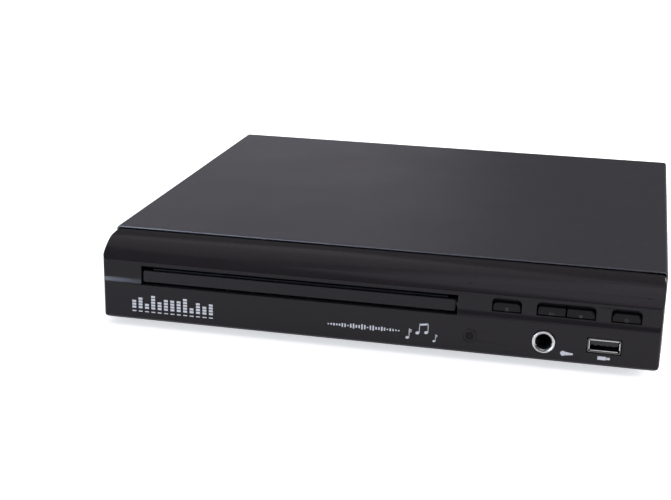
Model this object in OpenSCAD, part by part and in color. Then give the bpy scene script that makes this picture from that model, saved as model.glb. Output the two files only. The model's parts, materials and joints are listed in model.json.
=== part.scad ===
/* [Body] */
// Width of the moulded front, side to side
bezel_w = 236.4; // [214:0.1:260]
// Depth of the steel cover, front edge to back edge
body_depth = 198.2; // [179:0.1:240]
// Height of the closed body above its feet
body_h = 35.4; // [35.2:0.1:40]
// How far the steel cover stands out past the front on each side
cover_step = 0.7; // [0.2:0.1:1]
// Thickness of the cover's steel sheet
cover_t = 0.8; // [0.6:0.1:1]
// Thickness of the chassis sheet
chassis_t = 1; // [0.8:0.1:1.2]
// Outer radius of the cover's two long bends
cover_bend_r = 1.6; // [1.2:0.1:2.5]
// Height of the front lip of the chassis
front_lip_h = 11; // [6:1:12]
// Height of the rear lip of the chassis
rear_lip_h = 4.6; // [3:0.1:4.8]
// Height of the side lips of the chassis
side_lip_h = 14; // [8:1:24]

/* [Feet] */
// Height of each rubber foot
foot_h = 4; // [2.5:0.5:8]
// Radius of each rubber foot
foot_r = 8; // [6:0.5:10]
// Distance of the feet from the sides of the front
foot_inset_x = 19; // [12:1:30]
// Distance of the feet from the cover's front and back edges
foot_inset_y = 19; // [12:1:24]

/* [Front] */
// Depth of the front, cover edge to the visor's crease
bezel_depth = 19.4; // [19.4:0.2:26]
// Radius of the visor's curve
visor_r = 24; // [22:0.5:25]
// Angle at which the visor's curve ends in the crease
visor_end = 50; // [44:1:52]
// Drop of the visor's top below the cover's top
visor_drop = 1; // [0.3:0.1:1.2]
// Radius of the rounded crease
crease_r = 0.5; // [0.3:0.1:0.8]
// Wall thickness of the front moulding
bezel_wall = 2.2; // [1.6:0.1:2.4]
// How far the band is set back behind the crease
band_set = 0.9; // [0.6:0.1:1.3]
// How far the lower face is set back behind the crease
face_set = 0.3; // [0.1:0.1:0.5]
// Height of the band's flat face, top edge
band_top = 24.8; // [24.5:0.1:25]
// Height of the band's flat face, bottom edge
band_low = 18.7; // [18.4:0.1:18.8]
// Height at which the slope under the band runs out into the lower face
ramp_low = 15; // [14:0.1:15.2]
// How far the lower face reaches below the body's bottom
front_drop = 0.8; // [0:0.1:1.5]
// Width of the bevel along the foot of the lower face
foot_bevel = 1.2; // [0.6:0.1:1.8]
// Radius of the lower corners, seen from the front
low_corner_r = 2.8; // [1:0.2:4]
// Radius of the upright end corners, seen from above
end_corner_r = 2.2; // [1:0.2:3]
// Gap between the front and the cover's edge
seam = 0.4; // [0.3:0.1:0.8]
// Depth of the tongue that holds the front under the cover
tongue_d = 4; // [2:0.5:6]

/* [Disc tray] */
// Diameter of a full-size disc
disc_d = 120; // [120:1:121]
// Diameter of a small disc
disc_small_d = 80; // [80:1:81]
// Sideways place of the tray's centreline
tray_x = -32.1; // [-34:0.1:-31]
// Width of the tray
tray_w = 128; // [127:0.5:129]
// Height of the tray's underside above the body's bottom
tray_z = 15.9; // [15.9:0.1:16.1]
// Height of the tray, underside to rim
tray_h = 6.1; // [5.8:0.1:6.2]
// Thickness of the tray's floor
tray_floor = 1.6; // [1.4:0.1:2]
// Play round a disc in its recess
disc_play = 0.6; // [0.4:0.1:1]
// Step down of the small disc's recess
small_step = 0.7; // [0.4:0.1:0.9]
// Width of the tray's front bar, door to recess
tray_front = 6; // [5:0.5:8]
// How far the tray slides out
tray_travel = 130; // [100:1:132]
// Width of the open window for the pickup
window_w = 40; // [38:1:44]
// Width of the two side rails at the back of the tray
rail_w = 9; // [7:0.5:12]
// How far the door stands past the tray on each side
door_over = 3.6; // [2:0.1:4]
// Height of the door
door_h = 5; // [4.6:0.1:6]
// Thickness of the door
door_t = 3; // [2.4:0.1:3.4]
// Gap under the door
door_gap_low = 1.3; // [0.6:0.1:1.4]
// Gap above the door
door_gap_top = 2; // [0.8:0.1:2.2]
// Gap at each end of the door
door_gap_side = 0.9; // [0.6:0.1:1.2]

/* [Buttons] */
// Width of each press button
button_w = 11; // [9:0.2:11.4]
// Height of each press button
button_h = 3.4; // [3:0.1:3.6]
// Radius of a button's two upper corners
button_r = 2; // [1:0.1:2.4]
// Distance between the two buttons that sit side by side
pair_pitch = 11.6; // [11.6:0.1:12]
// Distance from an outer button to the nearer one of the pair
outer_pitch = 18; // [16:0.5:19]
// Distance from the front's right end to the middle of the button row
buttons_inset = 38; // [36:0.1:40]
// Gap at the sides and the foot of a button
button_gap = 0.5; // [0.4:0.1:0.6]
// Gap above a button
button_gap_top = 1.8; // [0.8:0.1:1.9]
// How far a button presses in
button_travel = 0.5; // [0.3:0.1:0.6]

/* [Sockets] */
// Distance from the front's right end to the microphone jack
jack_inset = 46.2; // [44:0.1:52]
// Height of the microphone jack's axis
jack_z = 7.5; // [7:0.1:8]
// Bore radius of the microphone jack
jack_bore_r = 3.25; // [3.2:0.05:3.4]
// Outer radius of the jack's bright sleeve
jack_sleeve_r = 4.7; // [4.4:0.05:5.2]
// How far the sleeve stands out of the face
jack_proud = 0.6; // [0.4:0.1:2]
// Depth of the funnel in the sleeve's mouth
jack_funnel = 1.3; // [0.6:0.1:2]
// Distance from the front's right end to the square socket
usb_inset = 22.1; // [20:0.1:25]
// Height of the square socket's middle
usb_z = 8.05; // [7.8:0.05:8.4]
// Outer width of the square socket's shell
usb_w = 13.1; // [12:0.1:13.4]
// Outer height of the square socket's shell
usb_h = 5.7; // [5.2:0.1:5.9]
// Distance from the front's right end to the small round window
window_inset = 76.3; // [74:0.1:78]
// Height of the small round window
window_z = 7; // [6:0.1:8]
// Radius of the small round window
window_r = 1.5; // [1:0.1:2]
// Radius of a back socket's barrel
barrel_r = 4.15; // [3.8:0.05:4.3]
// How far the back barrels stand out of the back panel
barrel_len = 8; // [6:0.5:10]
// Distance between back sockets
barrel_pitch = 13.5; // [13:0.5:15]
// Width of the mains socket's mouth
inlet_w = 16.4; // [15.5:0.1:17]
// Height of the mains socket's mouth
inlet_h = 8; // [7.4:0.1:9]

/* [Boards] */
// Depth of the decoder board, front to back
main_d = 66; // [60:1:68]
// Gap between the decoder board and the power board
board_space = 6; // [5:0.5:8]
// Side of the decoder chip
chip_w = 24; // [14:1:26]
// Width of the transformer's two ferrite blocks
transformer_w = 18; // [14:0.5:18.5]
// Height of the transformer
transformer_h = 17; // [14:0.5:20]
// Radius of the large filter capacitor
can_r = 8; // [6:0.5:8.5]
// Height of the large filter capacitor
can_h = 20; // [14:0.5:22]
// Height of the heat sink
sink_h = 20; // [14:0.5:22]

/* [Gears] */
// Tooth size of the tray's rack and pinion
tray_module = 1; // [0.9:0.05:1.05]
// Teeth on the tray's pinion
tray_teeth = 16; // [14:1:17]
// Tooth size of the lower gear pair
gear_module = 0.8; // [0.7:0.05:0.8]
// Teeth on the large gear under the pinion
large_teeth = 36; // [30:1:37]
// Teeth on the pulley's small gear
small_teeth = 12; // [12:1:14]
// Radius of the large pulley
pulley_r = 13; // [10:0.5:13.5]
// Radius of the motor's pulley
motor_pulley_r = 3.6; // [3:0.1:4]
// Distance between the two pulleys
pulley_pitch = 27; // [25:0.5:28]
// Tooth size of the pickup's rack and gears
feed_module = 0.6; // [0.5:0.05:0.6]
// Teeth on the pickup's feed gear
feed_teeth = 24; // [22:1:24]
// Teeth on the feed motor's pinion
feed_pinion_teeth = 10; // [10:1:11]

/* [Pickup] */
// How far the pickup travels along its rods
pickup_travel = 34; // [28:1:35]
// Radius of the two guide rods
rod_r = 1.5; // [1.2:0.1:1.5]
// Distance between the two guide rods
rod_pitch = 46; // [45:0.5:46]
// Angle through which the tilting frame sinks
tilt_angle = 3.2; // [2.4:0.1:3.2]
// Sideways travel of the cam slider
cam_travel = 16; // [12:0.5:16]
// Radius of the turntable
turntable_r = 16; // [14:0.5:16.5]
// Radius of the clamping puck
puck_r = 14; // [12:0.5:15]

/* [Fit] */
// Clearance between neighbouring pieces
gap = 0.3; // [0.3:0.05:0.4]
// Radial clearance of a shaft or rod in its bore
running = 0.05; // [0.02:0.01:0.08]
// Backlash of meshing teeth
backlash = 0.16; // [0.12:0.02:0.24]

/* [Hidden] */
$fn = 64;

// overall places: X from the middle, Y from the cover's front edge, Z from the body's bottom
face_y = -(bezel_depth - face_set);
front_y = face_y - jack_proud;
back_y = body_depth + barrel_len;
panel_y = body_depth - 0.6;
mid_y = (front_y + back_y) / 2;
cover_w = bezel_w + 2 * cover_step;
ceiling = body_h - cover_t;
chassis_w = cover_w - 2 * cover_t - 2 * gap;
visor_top = body_h - visor_drop;
visor_lip = 1;
board_t = 1.6;
far = 400;
// small step left where two faces would otherwise only just touch
hair = 0.02;
// places of the cover's side screws, of its louvres and of the front's two snap hooks
side_screw_ys = [34, body_depth - 32.2];
side_screw_z = 7;
louvre_y = body_depth - 102.2;
louvre_pitch = 7;
hook_xs = [-80, 0];
hook_half = 4;

// tray and disc
door_w = tray_w + 2 * door_over;
slot_low = tray_z - 0.4;
slot_w = door_w + 2 * door_gap_side;
slot_h = door_h + door_gap_low + door_gap_top;
door_y = -(bezel_depth - band_set);
tray_y = door_y + door_t;
recess_r = disc_d / 2 + disc_play;
small_r = disc_small_d / 2 + disc_play / 2;
spindle_y = tray_y + tray_front + recess_r;
tray_top = tray_z + tray_h;
plate_end = spindle_y + recess_r + 8;
pinion_r = tray_module * tray_teeth / 2;
tray_edge = tray_x + tray_w / 2;
pinion_x = tray_edge + 1.25 * tray_module + pinion_r + 0.05;
pinion_y = 20;
rail_end = pinion_y + tray_travel + 8;
rack_z = tray_z + 0.1;
rack_h = 3.4;

// loader
deck_z = 13.4;
deck_t = 2;
loader_wall = 2.5;
loader_left = tray_x - tray_w / 2 - 5;
loader_right = tray_x + tray_w / 2 + 5;
loader_y = 3;
loader_end = rail_end + 8;
loader_top = tray_top + 2.5;
standoff_z = 4;
bay_half = 50;
shelf_x = pinion_x + 54;
shelf_y0 = 7;
shelf_y1 = 48;
bridge_t = 1.6;
hub_z = 20.6;

// gear train
large_r = gear_module * large_teeth / 2;
small_gear_r = gear_module * small_teeth / 2;
train_pitch = large_r + small_gear_r + 0.1;
train_angle = 35;
pulley_x = pinion_x + train_pitch * cos(train_angle);
pulley_y = pinion_y + train_pitch * sin(train_angle);
motor_angle = -10;
motor_x = pulley_x + pulley_pitch * cos(motor_angle);
motor_y = pulley_y + pulley_pitch * sin(motor_angle);
shaft_r = 1.2;
pulley_z = 5.2;
pulley_h = 3;
large_z = pulley_z + pulley_h + 0.5;
large_h = 2.6;
belt_t = 1.2;
groove = 0.9;

// tilting frame and what it carries
pivot_y = rail_end - 10;
pivot_z = 11;
tilt_half = bay_half - 2.5;
tilt_bar = 4;
tilt_y0 = 18;
tilt_y1 = pivot_y + 3;
tilt_z = 9;
tilt_h = 4;
cam_pin_x = tray_x + 14;
cam_pin_z = 12;
cam_pin_r = 1.2;
cam_y = 12;
cam_t = 2;
cam_low = chassis_t + 0.6;
cam_high = tray_z - 1.1;
cam_guide_z = 8;
cam_guide_r = 1.4;
cam_guides = [tray_x - 29, tray_x - 6];
cam_x0 = cam_guides[0] - 4;
cam_x1 = cam_pin_x + cam_travel + cam_pin_r + 2.5;
cam_drop = (pivot_y - cam_y) * sin(tilt_angle);
plate_z = 12;
plate_t = 1.2;
bush_x = 38;
bush_y0 = 30;
bush_y1 = 136;
bush_z = 10.4;
bush_h = 4.4;
rod_z = 10.4;
rod_y0 = 58;
rod_y1 = 136;
sled_y0 = spindle_y + 12.6;
sled_len = 24;
lens_y = sled_y0 + 12;
sled_half = rod_pitch / 2 + 4;
sled_z = 8.2;
sled_h = 6.8;
sled_side = 4.4;
feed_r = feed_module * feed_teeth / 2;
feed_pinion_r = feed_module * feed_pinion_teeth / 2;
feed_x = tray_x + sled_half + 1.25 * feed_module + feed_r + 0.05;
feed_y = sled_y0 + pickup_travel + 3;
feed_z = 10.2;
feed_h = 1.4;
feed_rack = pickup_travel + 7;
feed_motor_y = feed_y + feed_r + feed_pinion_r + 0.1;

// front buttons and boards
buttons_x = bezel_w / 2 - buttons_inset;
jack_x = bezel_w / 2 - jack_inset;
usb_x = bezel_w / 2 - usb_inset;
window_x = bezel_w / 2 - window_inset;
button_z = band_low + 0.15;
button_xs = [
    buttons_x - pair_pitch / 2 - outer_pitch,
    buttons_x - pair_pitch / 2,
    buttons_x + pair_pitch / 2,
    buttons_x + pair_pitch / 2 + outer_pitch
];
band_y = -(bezel_depth - band_set);
collar_y = band_y + bezel_wall + 0.7;
collar_t = 1;
switch_y = collar_y + 3.9;
switch_h = 3.4;
switch_w = 6;
button_board_y = switch_y + switch_h;
button_mid_z = button_z + button_h / 2;
receiver_x0 = window_x - 5;
button_board_x0 = max(receiver_x0, tray_edge + 2.25 * tray_module + 1);
button_board_x1 = bezel_w / 2 - bezel_wall - 1;
boss_z = 27;
boss_xs = [button_board_x0 + 4, button_board_x1 - 3];
rib_w = 1.2;
ribbon_x1 = button_board_x1 - 4;
ribbon_w = 10;
floor_z = chassis_t + standoff_z;
jack_board_z = bezel_wall + 0.3;
sleeve_len = 9;
jack_body_len = 16;
jack_body_w = 12;
jack_board_y1 = front_y + sleeve_len + jack_body_len + 4.4;
usb_len = 14.5;
usb_t = 0.35;
main_x0 = loader_right + 8;
main_x1 = chassis_w / 2 - 3;
main_y0 = shelf_y1 + 6;
main_y1 = main_y0 + main_d;
power_y0 = main_y1 + board_space;
power_y1 = panel_y - 4;
board_top = floor_z + board_t;
board_mid = (main_x0 + main_x1) / 2;
transformer_x = main_x0 + transformer_w / 2 + 11.5;
sink_x = transformer_x + transformer_w / 2 + 2.2;
sink_d = 30;
small_can_r = 4;
small_can_h = 12;
can_top_cut = 0.6;
inlet_x = main_x1 - 16;
inlet_z = floor_z + board_t + inlet_h / 2 + 1.5;
inlet_d = 13;
inlet_pin_x = 4.3;
inlet_pin_r = 1.2;
av_x = -24;
av_z = [11, 24.5];
av_half = 28;
av_y0 = max(panel_y - 23, loader_end + 1);
av_y1 = panel_y - 1.2;
av_block_d = 11;
insulator_r = 3.4;
// radius of a board's screw hole, and of the screw's head
board_hole_r = 1.5;
screw_head_r = 2.6;

// ---------------------------------------------------------------- helpers

// moves a piece from the body's own places to the part's origin on the floor
module seat() translate([0, -mid_y, foot_h]) children();

// box between two opposite corners
module span(lo, hi) translate(lo) cube(hi - lo);

// profile drawn in (Y, Z), running from x0 to x1
module run_x(x0, x1) translate([x0, 0, 0]) rotate([90, 0, 90]) linear_extrude(x1 - x0) children();

// outline drawn in (X, Z), running from y0 to y1
module run_y(y0, y1) translate([0, y1, 0]) rotate([90, 0, 0]) linear_extrude(y1 - y0) children();

// outline drawn in (X, Y), running from z0 to z1
module run_z(z0, z1) translate([0, 0, z0]) linear_extrude(z1 - z0) children();

module post(x, y, z0, z1, r) translate([x, y, z0]) cylinder(r = r, h = z1 - z0);

module rod_along(x, z, y0, y1, r) translate([x, y1, z]) rotate([90, 0, 0]) cylinder(r = r, h = y1 - y0);

// the children and their mirror image in the tray's centre plane
module both_sides() translate([tray_x, 0, 0]) for (s = [0, 1]) mirror([s, 0, 0]) children();

// square corner to cut away so that a round one of radius r is left; the corner points to +X and +Y
module corner_bit(r) {
    difference() {
        translate([-r, -r]) square(r + 1);
        translate([-r, -r]) circle(r);
        translate([-2 * r - 1, -2 * r - 1]) square([r + 1, 2 * r + 2]);
        translate([-2 * r - 1, -2 * r - 1]) square([2 * r + 2, r + 1]);
    }
}

// rectangle with one radius at the two upper corners and one at the two lower ones
module plate_outline(w, h, r_top, r_low) {
    difference() {
        translate([-w / 2, 0]) square([w, h]);
        for (s = [0, 1]) mirror([s, 0]) {
            translate([w / 2, h]) corner_bit(r_top);
            translate([w / 2, 0]) mirror([0, 1]) corner_bit(r_low);
        }
    }
}

// half angle of an involute tooth at radius r, for a gear of pitch radius rp with z teeth
function involute(a) = tan(a) * 180 / PI - a;
function half_tooth(r, rp, z) =
    let (rb = rp * cos(20), a = r <= rb ? 0 : acos(rb / r))
    90 / z - backlash / 2 / rp * 180 / PI / 2 + involute(20) - involute(a);

// spur gear outline with its first tooth along +X
module gear_outline(m, z) {
    rp = m * z / 2;
    rs = [rp - 1.2 * m, rp - 0.5 * m, rp + 0.3 * m, rp + 0.95 * m];
    left = [for (k = [0:3]) [rs[k], -half_tooth(rs[k], rp, z)]];
    right = [for (k = [3:-1:0]) [rs[k], half_tooth(rs[k], rp, z)]];
    tooth = concat(left, right);
    polygon([for (i = [0:z - 1]) for (p = tooth)
        p[0] * [cos(p[1] + i * 360 / z), sin(p[1] + i * 360 / z)]]);
}

// rack outline along +Y from 0 to len, teeth towards +X, one tooth centred at y = at
module rack_outline(m, len, at) {
    pitch = PI * m;
    root = 0.25 * pitch - backlash / 4 + 1.15 * m * tan(20);
    tip = 0.25 * pitch - backlash / 4 - 0.9 * m * tan(20);
    first = ceil((root - at) / pitch);
    last = floor((len - root - at) / pitch);
    translate([-1, 0]) square([1, len]);
    for (i = [first:last])
        translate([0, at + i * pitch])
            polygon([[-0.5, -root], [0, -root], [0.1, -root], [2.15 * m, -tip], [2.15 * m, tip],
                     [0.1, root], [0, root], [-0.5, root]]);
}

// row of slots through a sheet, cut along Z
module slot_field(x, y, count, pitch, len, wide) {
    for (i = [0:count - 1])
        span([x + i * pitch, y, -1], [x + i * pitch + wide, y + len, chassis_t + 1]);
}

// ---------------------------------------------------------------- casing

// places of the moulded standoffs pressed out of the chassis floor: [x, y]
loader_feet = [
    [loader_left + 6, 12], [loader_right - 6, 60],
    [loader_left + 6, loader_end - 8], [loader_right - 6, loader_end - 8]
];
board_feet = [
    [main_x0 + 5, main_y0 + 12], [main_x1 - 5, main_y0 + 12],
    [main_x0 + 5, main_y1 - 5], [main_x1 - 5, main_y1 - 5],
    [main_x0 + 5, power_y0 + 5], [main_x1 - 5, power_y0 + 5], [main_x0 + 5, power_y1 - 5]
];
av_feet = [for (s = [-1, 1]) [av_x + s * (av_half - 4), (av_y0 + av_y1) / 2]];
foot_places = [for (y = [foot_inset_y, body_depth - foot_inset_y]) for (s = [-1, 1])
    [s * (bezel_w / 2 - foot_inset_x), y]];

module base_chassis() color([0.72, 0.73, 0.74]) seat() {
    half = chassis_w / 2;
    y0 = 1;
    y1 = panel_y - gap;
    difference() {
        union() {
            span([-half, y0, 0], [half, y1, chassis_t]);
            for (s = [0, 1]) mirror([s, 0, 0])
                span([half - chassis_t, y0, 0], [half, y1, side_lip_h]);
            span([-half, y0, 0], [window_x - 4, y0 + chassis_t, front_lip_h]);
            span([-half, y1 - chassis_t, 0], [half, y1, rear_lip_h]);
            for (p = concat(loader_feet, board_feet, av_feet))
                translate([p[0], p[1], chassis_t]) cylinder(r1 = 5, r2 = 3.4, h = standoff_z);
        }
        // each standoff is drawn up from the sheet, so it is hollow underneath, with a tapped hole
        for (p = concat(loader_feet, board_feet, av_feet)) {
            post(p[0], p[1], -1, floor_z + 1, 1.2);
            translate([p[0], p[1], -0.1]) cylinder(r1 = 4.2, r2 = 2.5, h = standoff_z);
        }
        for (p = foot_places) post(p[0], p[1], -1, chassis_t + 1, 2);
        slot_field(main_x0 + 10, main_y0 + 18, 8, 6, 30, 2.6);
        slot_field(main_x0 + 10, power_y0 + 14, 8, 6, 34, 2.6);
        for (s = [-1, 1]) for (y = side_screw_ys)
            translate([s * half, y, side_screw_z]) rotate([0, 90, 0])
                cylinder(r = 1.3, h = 6, center = true);
        for (x = hook_xs) span([x - hook_half - 0.5, 0, 5], [x + hook_half + 0.5, 4, 8.4]);
    }
}

module top_cover() color([0.27, 0.26, 0.28]) seat() {
    w = cover_w;
    side_z = 0.6;
    difference() {
        run_y(0, body_depth) difference() {
            translate([0, side_z]) plate_outline(w, body_h - side_z, cover_bend_r, 0.01);
            translate([0, side_z - 1])
                plate_outline(w - 2 * cover_t, body_h - side_z - cover_t + 1, cover_bend_r - cover_t, 0.01);
        }
        // louvres in both sides, two rows
        for (i = [0:11]) for (z = [14, 21.5])
            translate([0, louvre_y + i * louvre_pitch, z]) cube([w + 10, 2.4, 5.5], center = true);
        for (s = [-1, 1]) for (y = side_screw_ys)
            translate([s * w / 2, y, side_screw_z]) rotate([0, 90, 0])
                cylinder(r = 1.7, h = 6, center = true);
    }
}

module rear_panel() color([0.7, 0.71, 0.72]) seat() {
    half = chassis_w / 2 - 0.2;
    slot_x = -half + 12.7;
    slot_pitch = 4.2;
    slots = floor((av_x - barrel_pitch - barrel_r - 3 - slot_x) / slot_pitch);
    difference() {
        span([-half, panel_y, 1.2], [half, panel_y + 0.6, ceiling - gap]);
        for (z = av_z) for (i = [-1:1])
            rod_along(av_x + i * barrel_pitch, z, panel_y - 1, panel_y + 2, barrel_r + 0.6);
        span([inlet_x - inlet_w / 2 - 2.4, panel_y - 1, inlet_z - inlet_h / 2 - 1.9],
             [inlet_x + inlet_w / 2 + 2.4, panel_y + 2, inlet_z + inlet_h / 2 + 1.9]);
        for (i = [0:slots - 1])
            span([slot_x + i * slot_pitch, panel_y - 1, 10],
                 [slot_x + i * slot_pitch + 1.8, panel_y + 2, 26]);
        for (x = [8.7 - half, 12, half - 8.7]) rod_along(x, 30.5, panel_y - 1, panel_y + 2, 1.3);
    }
}

// visor, crease, band, ramp and lower face, in (Y, Z)
visor_c = [-visor_lip, visor_top - visor_r];
function on_visor(r, a) = [visor_c[0] - r * sin(a), visor_c[1] + r * cos(a)];
nose = on_visor(visor_r - crease_r - hair, visor_end);

module bezel_profile() {
    intersection() {
        translate(visor_c) circle(visor_r, $fn = 180);
        polygon([visor_c, on_visor(60, visor_end), [-60, 60], [-seam, 60], [-seam, visor_c[1]]]);
    }
    translate(nose) circle(crease_r, $fn = 32);
    polygon(concat(
        [[-seam, -front_drop], [-seam, nose[1] + 1], [nose[0] + 2, nose[1] + 1], nose,
         [band_y, band_top]],
        [for (t = [0:0.125:1]) slope_point(t)],
        [[face_y, foot_bevel - front_drop], [face_y + foot_bevel, -front_drop]]
    ));
}

// soft slope from the band's lower edge down and out to the lower face, as t goes from 0 to 1
function slope_point(t) = [
    band_y + (face_y - band_y) * (1 - cos(180 * t)) / 2,
    band_low + (ramp_low - band_low) * t
];

module button_hole() {
    w = button_w + 2 * button_gap;
    y0 = band_y - 2;
    y1 = band_y + bezel_wall + 4;
    h = button_h + button_gap + button_gap_top;
    pair = pair_pitch + w;
    z = button_z - button_gap;
    for (x = [button_xs[0], button_xs[3]]) run_y(y0, y1) translate([x, z])
        plate_outline(w, h, button_r, 0.01);
    run_y(y0, y1) translate([buttons_x, z]) plate_outline(pair, h, button_r, 0.01);
}

module front_bezel() color([0.18, 0.17, 0.19]) seat() {
    half = bezel_w / 2;
    rib_count = 6;
    rib_pitch = 24;
    rib_x0 = tray_x - 2.5 * rib_pitch - rib_w / 2;
    rib_set = 3;
    difference() {
        intersection() {
            run_x(-half, half) bezel_profile();
            run_z(-front_drop - 1, body_h + 1) translate([0, -1]) mirror([0, 1])
                plate_outline(bezel_w, bezel_depth - 1 + 0.01, end_corner_r, 0.01);
            run_y(-far, 1) translate([0, -front_drop])
                plate_outline(bezel_w, visor_top + front_drop + 0.01, cover_bend_r, low_corner_r);
        }
        difference() {
            intersection() {
                run_x(-half + bezel_wall, half - bezel_wall) translate(visor_c)
                    circle(visor_r - bezel_wall, $fn = 180);
                span([-half, -(bezel_depth - band_set - bezel_wall), bezel_wall],
                     [half, 2, visor_top - bezel_wall]);
            }
            // stiffening ribs left standing over and under the tray slot
            for (i = [0:rib_count - 1]) translate([rib_x0 + i * rib_pitch, 0, 0]) {
                span([0, -far, slot_low + slot_h + 1.2], [rib_w, -rib_set, body_h]);
                span([0, -far, 0], [rib_w, -rib_set, slot_low - 1.2]);
            }
        }
        span([tray_x - slot_w / 2, -far, slot_low], [tray_x + slot_w / 2, -5, slot_low + slot_h]);
        button_hole();
        rod_along(jack_x, jack_z, -far, -5, jack_sleeve_r + 0.2);
        span([usb_x - usb_w / 2 - 0.4, -far, usb_z - usb_h / 2 - 0.4],
             [usb_x + usb_w / 2 + 0.4, -5, usb_z + usb_h / 2 + 0.4]);
        rod_along(window_x, window_z, -far, -5, window_r + 0.1);
    }
    // bosses that carry the button board
    for (x = boss_xs) difference() {
        rod_along(x, boss_z, band_y + bezel_wall - 0.2, button_board_y, 1.9);
        rod_along(x, boss_z, button_board_y - 5, button_board_y + 1, 0.8);
    }
    // tongue under the cover's front edge, and two snap hooks for the chassis lip
    span([-half + 8, -bezel_wall - seam, visor_top - bezel_wall - 0.5],
         [half - 8, tongue_d, ceiling - gap]);
    for (x = hook_xs) {
        span([x - hook_half, -2, 5.4], [x + hook_half, 4.4, 6.6]);
        span([x - hook_half, -2, bezel_wall - 0.2], [x + hook_half, -0.6, 6.6]);
        span([x - hook_half, 3, 6.4], [x + hook_half, 4.4, 8]);
    }
}

module foot(i) color([0.1, 0.1, 0.1]) seat() translate([foot_places[i][0], foot_places[i][1], 0]) {
    translate([0, 0, -foot_h]) cylinder(r1 = foot_r - 1, r2 = foot_r, h = foot_h);
    translate([0, 0, -0.5]) cylinder(r = 1.9, h = chassis_t + 1.3);
    translate([0, 0, chassis_t + 0.1]) cylinder(r1 = 2.8, r2 = 1.6, h = 1.6);
}

module screw_head(r) {
    difference() {
        cylinder(r1 = r, r2 = r * 0.75, h = 1.1);
        for (a = [0, 90]) rotate(a) translate([0, 0, 1]) cube([r * 1.1, 0.5, 0.9], center = true);
    }
}

module cover_screws() color([0.2, 0.2, 0.21]) seat() {
    for (s = [-1, 1]) for (y = side_screw_ys) translate([s * cover_w / 2, y, side_screw_z])
        rotate([0, s * 90, 0]) {
        screw_head(3);
        translate([0, 0, -3.5]) cylinder(r = 1.2, h = 3.6);
    }
}

// ---------------------------------------------------------------- sockets and buttons

module mic_jack_sleeve() color([0.85, 0.85, 0.87]) seat() {
    y0 = front_y;
    edge = 0.4;
    rim = 0.25;
    difference() {
        union() {
            rod_along(jack_x, jack_z, y0 + edge, y0 + sleeve_len, jack_sleeve_r);
            translate([jack_x, y0 + edge, jack_z]) rotate([90, 0, 0])
                cylinder(r1 = jack_sleeve_r, r2 = jack_sleeve_r - edge, h = edge);
        }
        rod_along(jack_x, jack_z, y0 - 1, y0 + sleeve_len + 1, jack_bore_r);
        // funnel that guides the plug in
        translate([jack_x, y0 + jack_funnel, jack_z]) rotate([90, 0, 0])
            cylinder(r1 = jack_bore_r, r2 = jack_sleeve_r - edge - rim, h = jack_funnel + hair);
    }
}

module mic_jack_body() color([0.08, 0.08, 0.09]) seat() {
    y0 = front_y + sleeve_len;
    w = jack_body_w / 2;
    difference() {
        span([jack_x - w, y0, jack_board_z], [jack_x + w, y0 + jack_body_len, jack_z + 5.5]);
        rod_along(jack_x, jack_z, y0 - 1, y0 + jack_body_len - 1.5, jack_bore_r);
        // spring windows along both upper edges
        for (s = [-1, 1]) span([jack_x + s * w - 3, y0 + 4, jack_z + 4.3],
                               [jack_x + s * w + 3, y0 + 14, jack_z + 6]);
    }
}

module usb_shell() color([0.75, 0.75, 0.77]) seat() {
    y0 = face_y;
    t = usb_t;
    difference() {
        run_y(y0, y0 + usb_len) translate([usb_x, usb_z - usb_h / 2])
            plate_outline(usb_w, usb_h, 0.6, 0.6);
        run_y(y0 - 1, y0 + usb_len - t) translate([usb_x, usb_z - usb_h / 2 + t])
            plate_outline(usb_w - 2 * t, usb_h - 2 * t, 0.3, 0.3);
        for (s = [-1, 1]) span([usb_x + s * 3.2 - 1, y0 + 4, usb_z],
                               [usb_x + s * 3.2 + 1, y0 + 8, usb_z + 4]);
    }
    // two soldered legs
    for (s = [-1, 1]) span([usb_x + s * (usb_w / 2 - 0.25) - 0.25, y0 + 8, jack_board_z + board_t],
                           [usb_x + s * (usb_w / 2 - 0.25) + 0.25, y0 + 11, usb_z]);
}

module usb_tongue() color([0.09, 0.09, 0.1]) seat() {
    top = usb_z + usb_h / 2 - 1.1;
    y0 = face_y + 1.4;
    y1 = face_y + usb_len - usb_t;
    span([usb_x - 5.5, y0, top - 1.9], [usb_x + 5.5, y1, top]);
    span([usb_x - usb_w / 2 + 0.5, y1 - 3, usb_z - usb_h / 2 + 0.5], [usb_x + usb_w / 2 - 0.5, y1, top]);
}

module jack_board() color([0.1, 0.32, 0.16]) seat() {
    y0 = -(bezel_depth - band_set - bezel_wall) + gap;
    difference() {
        span([jack_x - 13, y0, jack_board_z], [usb_x + 12, jack_board_y1, jack_board_z + board_t]);
        span([jack_x - jack_body_w / 2 - 0.2, y0 - 1, 0],
             [jack_x + jack_body_w / 2 + 0.2, jack_board_y1 - 4.2, 9]);
        post(usb_x + 9, 1, 0, 9, 1.6);
        post(jack_x - 9.5, 1, 0, 9, 1.6);
    }
}

module window_lens() color([0.1, 0.07, 0.08]) seat() {
    rod_along(window_x, window_z, face_y + 0.2, button_board_y - 2.4, window_r);
    rod_along(window_x, window_z, face_y + bezel_wall + 0.8, face_y + bezel_wall + 1.6, window_r + 1);
}

module button_board() color([0.1, 0.32, 0.16]) seat() {
    y0 = button_board_y;
    low = 3;
    step = 14;
    top = 29.5;
    run_y(y0, y0 + board_t) difference() {
        union() {
            translate([receiver_x0, low]) square([13, step - low]);
            translate([button_board_x0, step - hair])
                square([button_board_x1 - button_board_x0, top - step + hair]);
        }
        for (x = boss_xs) translate([x, boss_z]) circle(1.1);
    }
    // receiver module behind the small window, and the ribbon's connector
    span([window_x - 3, y0 - 2.1, window_z - 3], [window_x + 3, y0, window_z + 4]);
    span([ribbon_x1 - ribbon_w - 1, y0 + board_t, 22], [ribbon_x1 + 1, y0 + board_t + 3, 26.4]);
}

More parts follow.
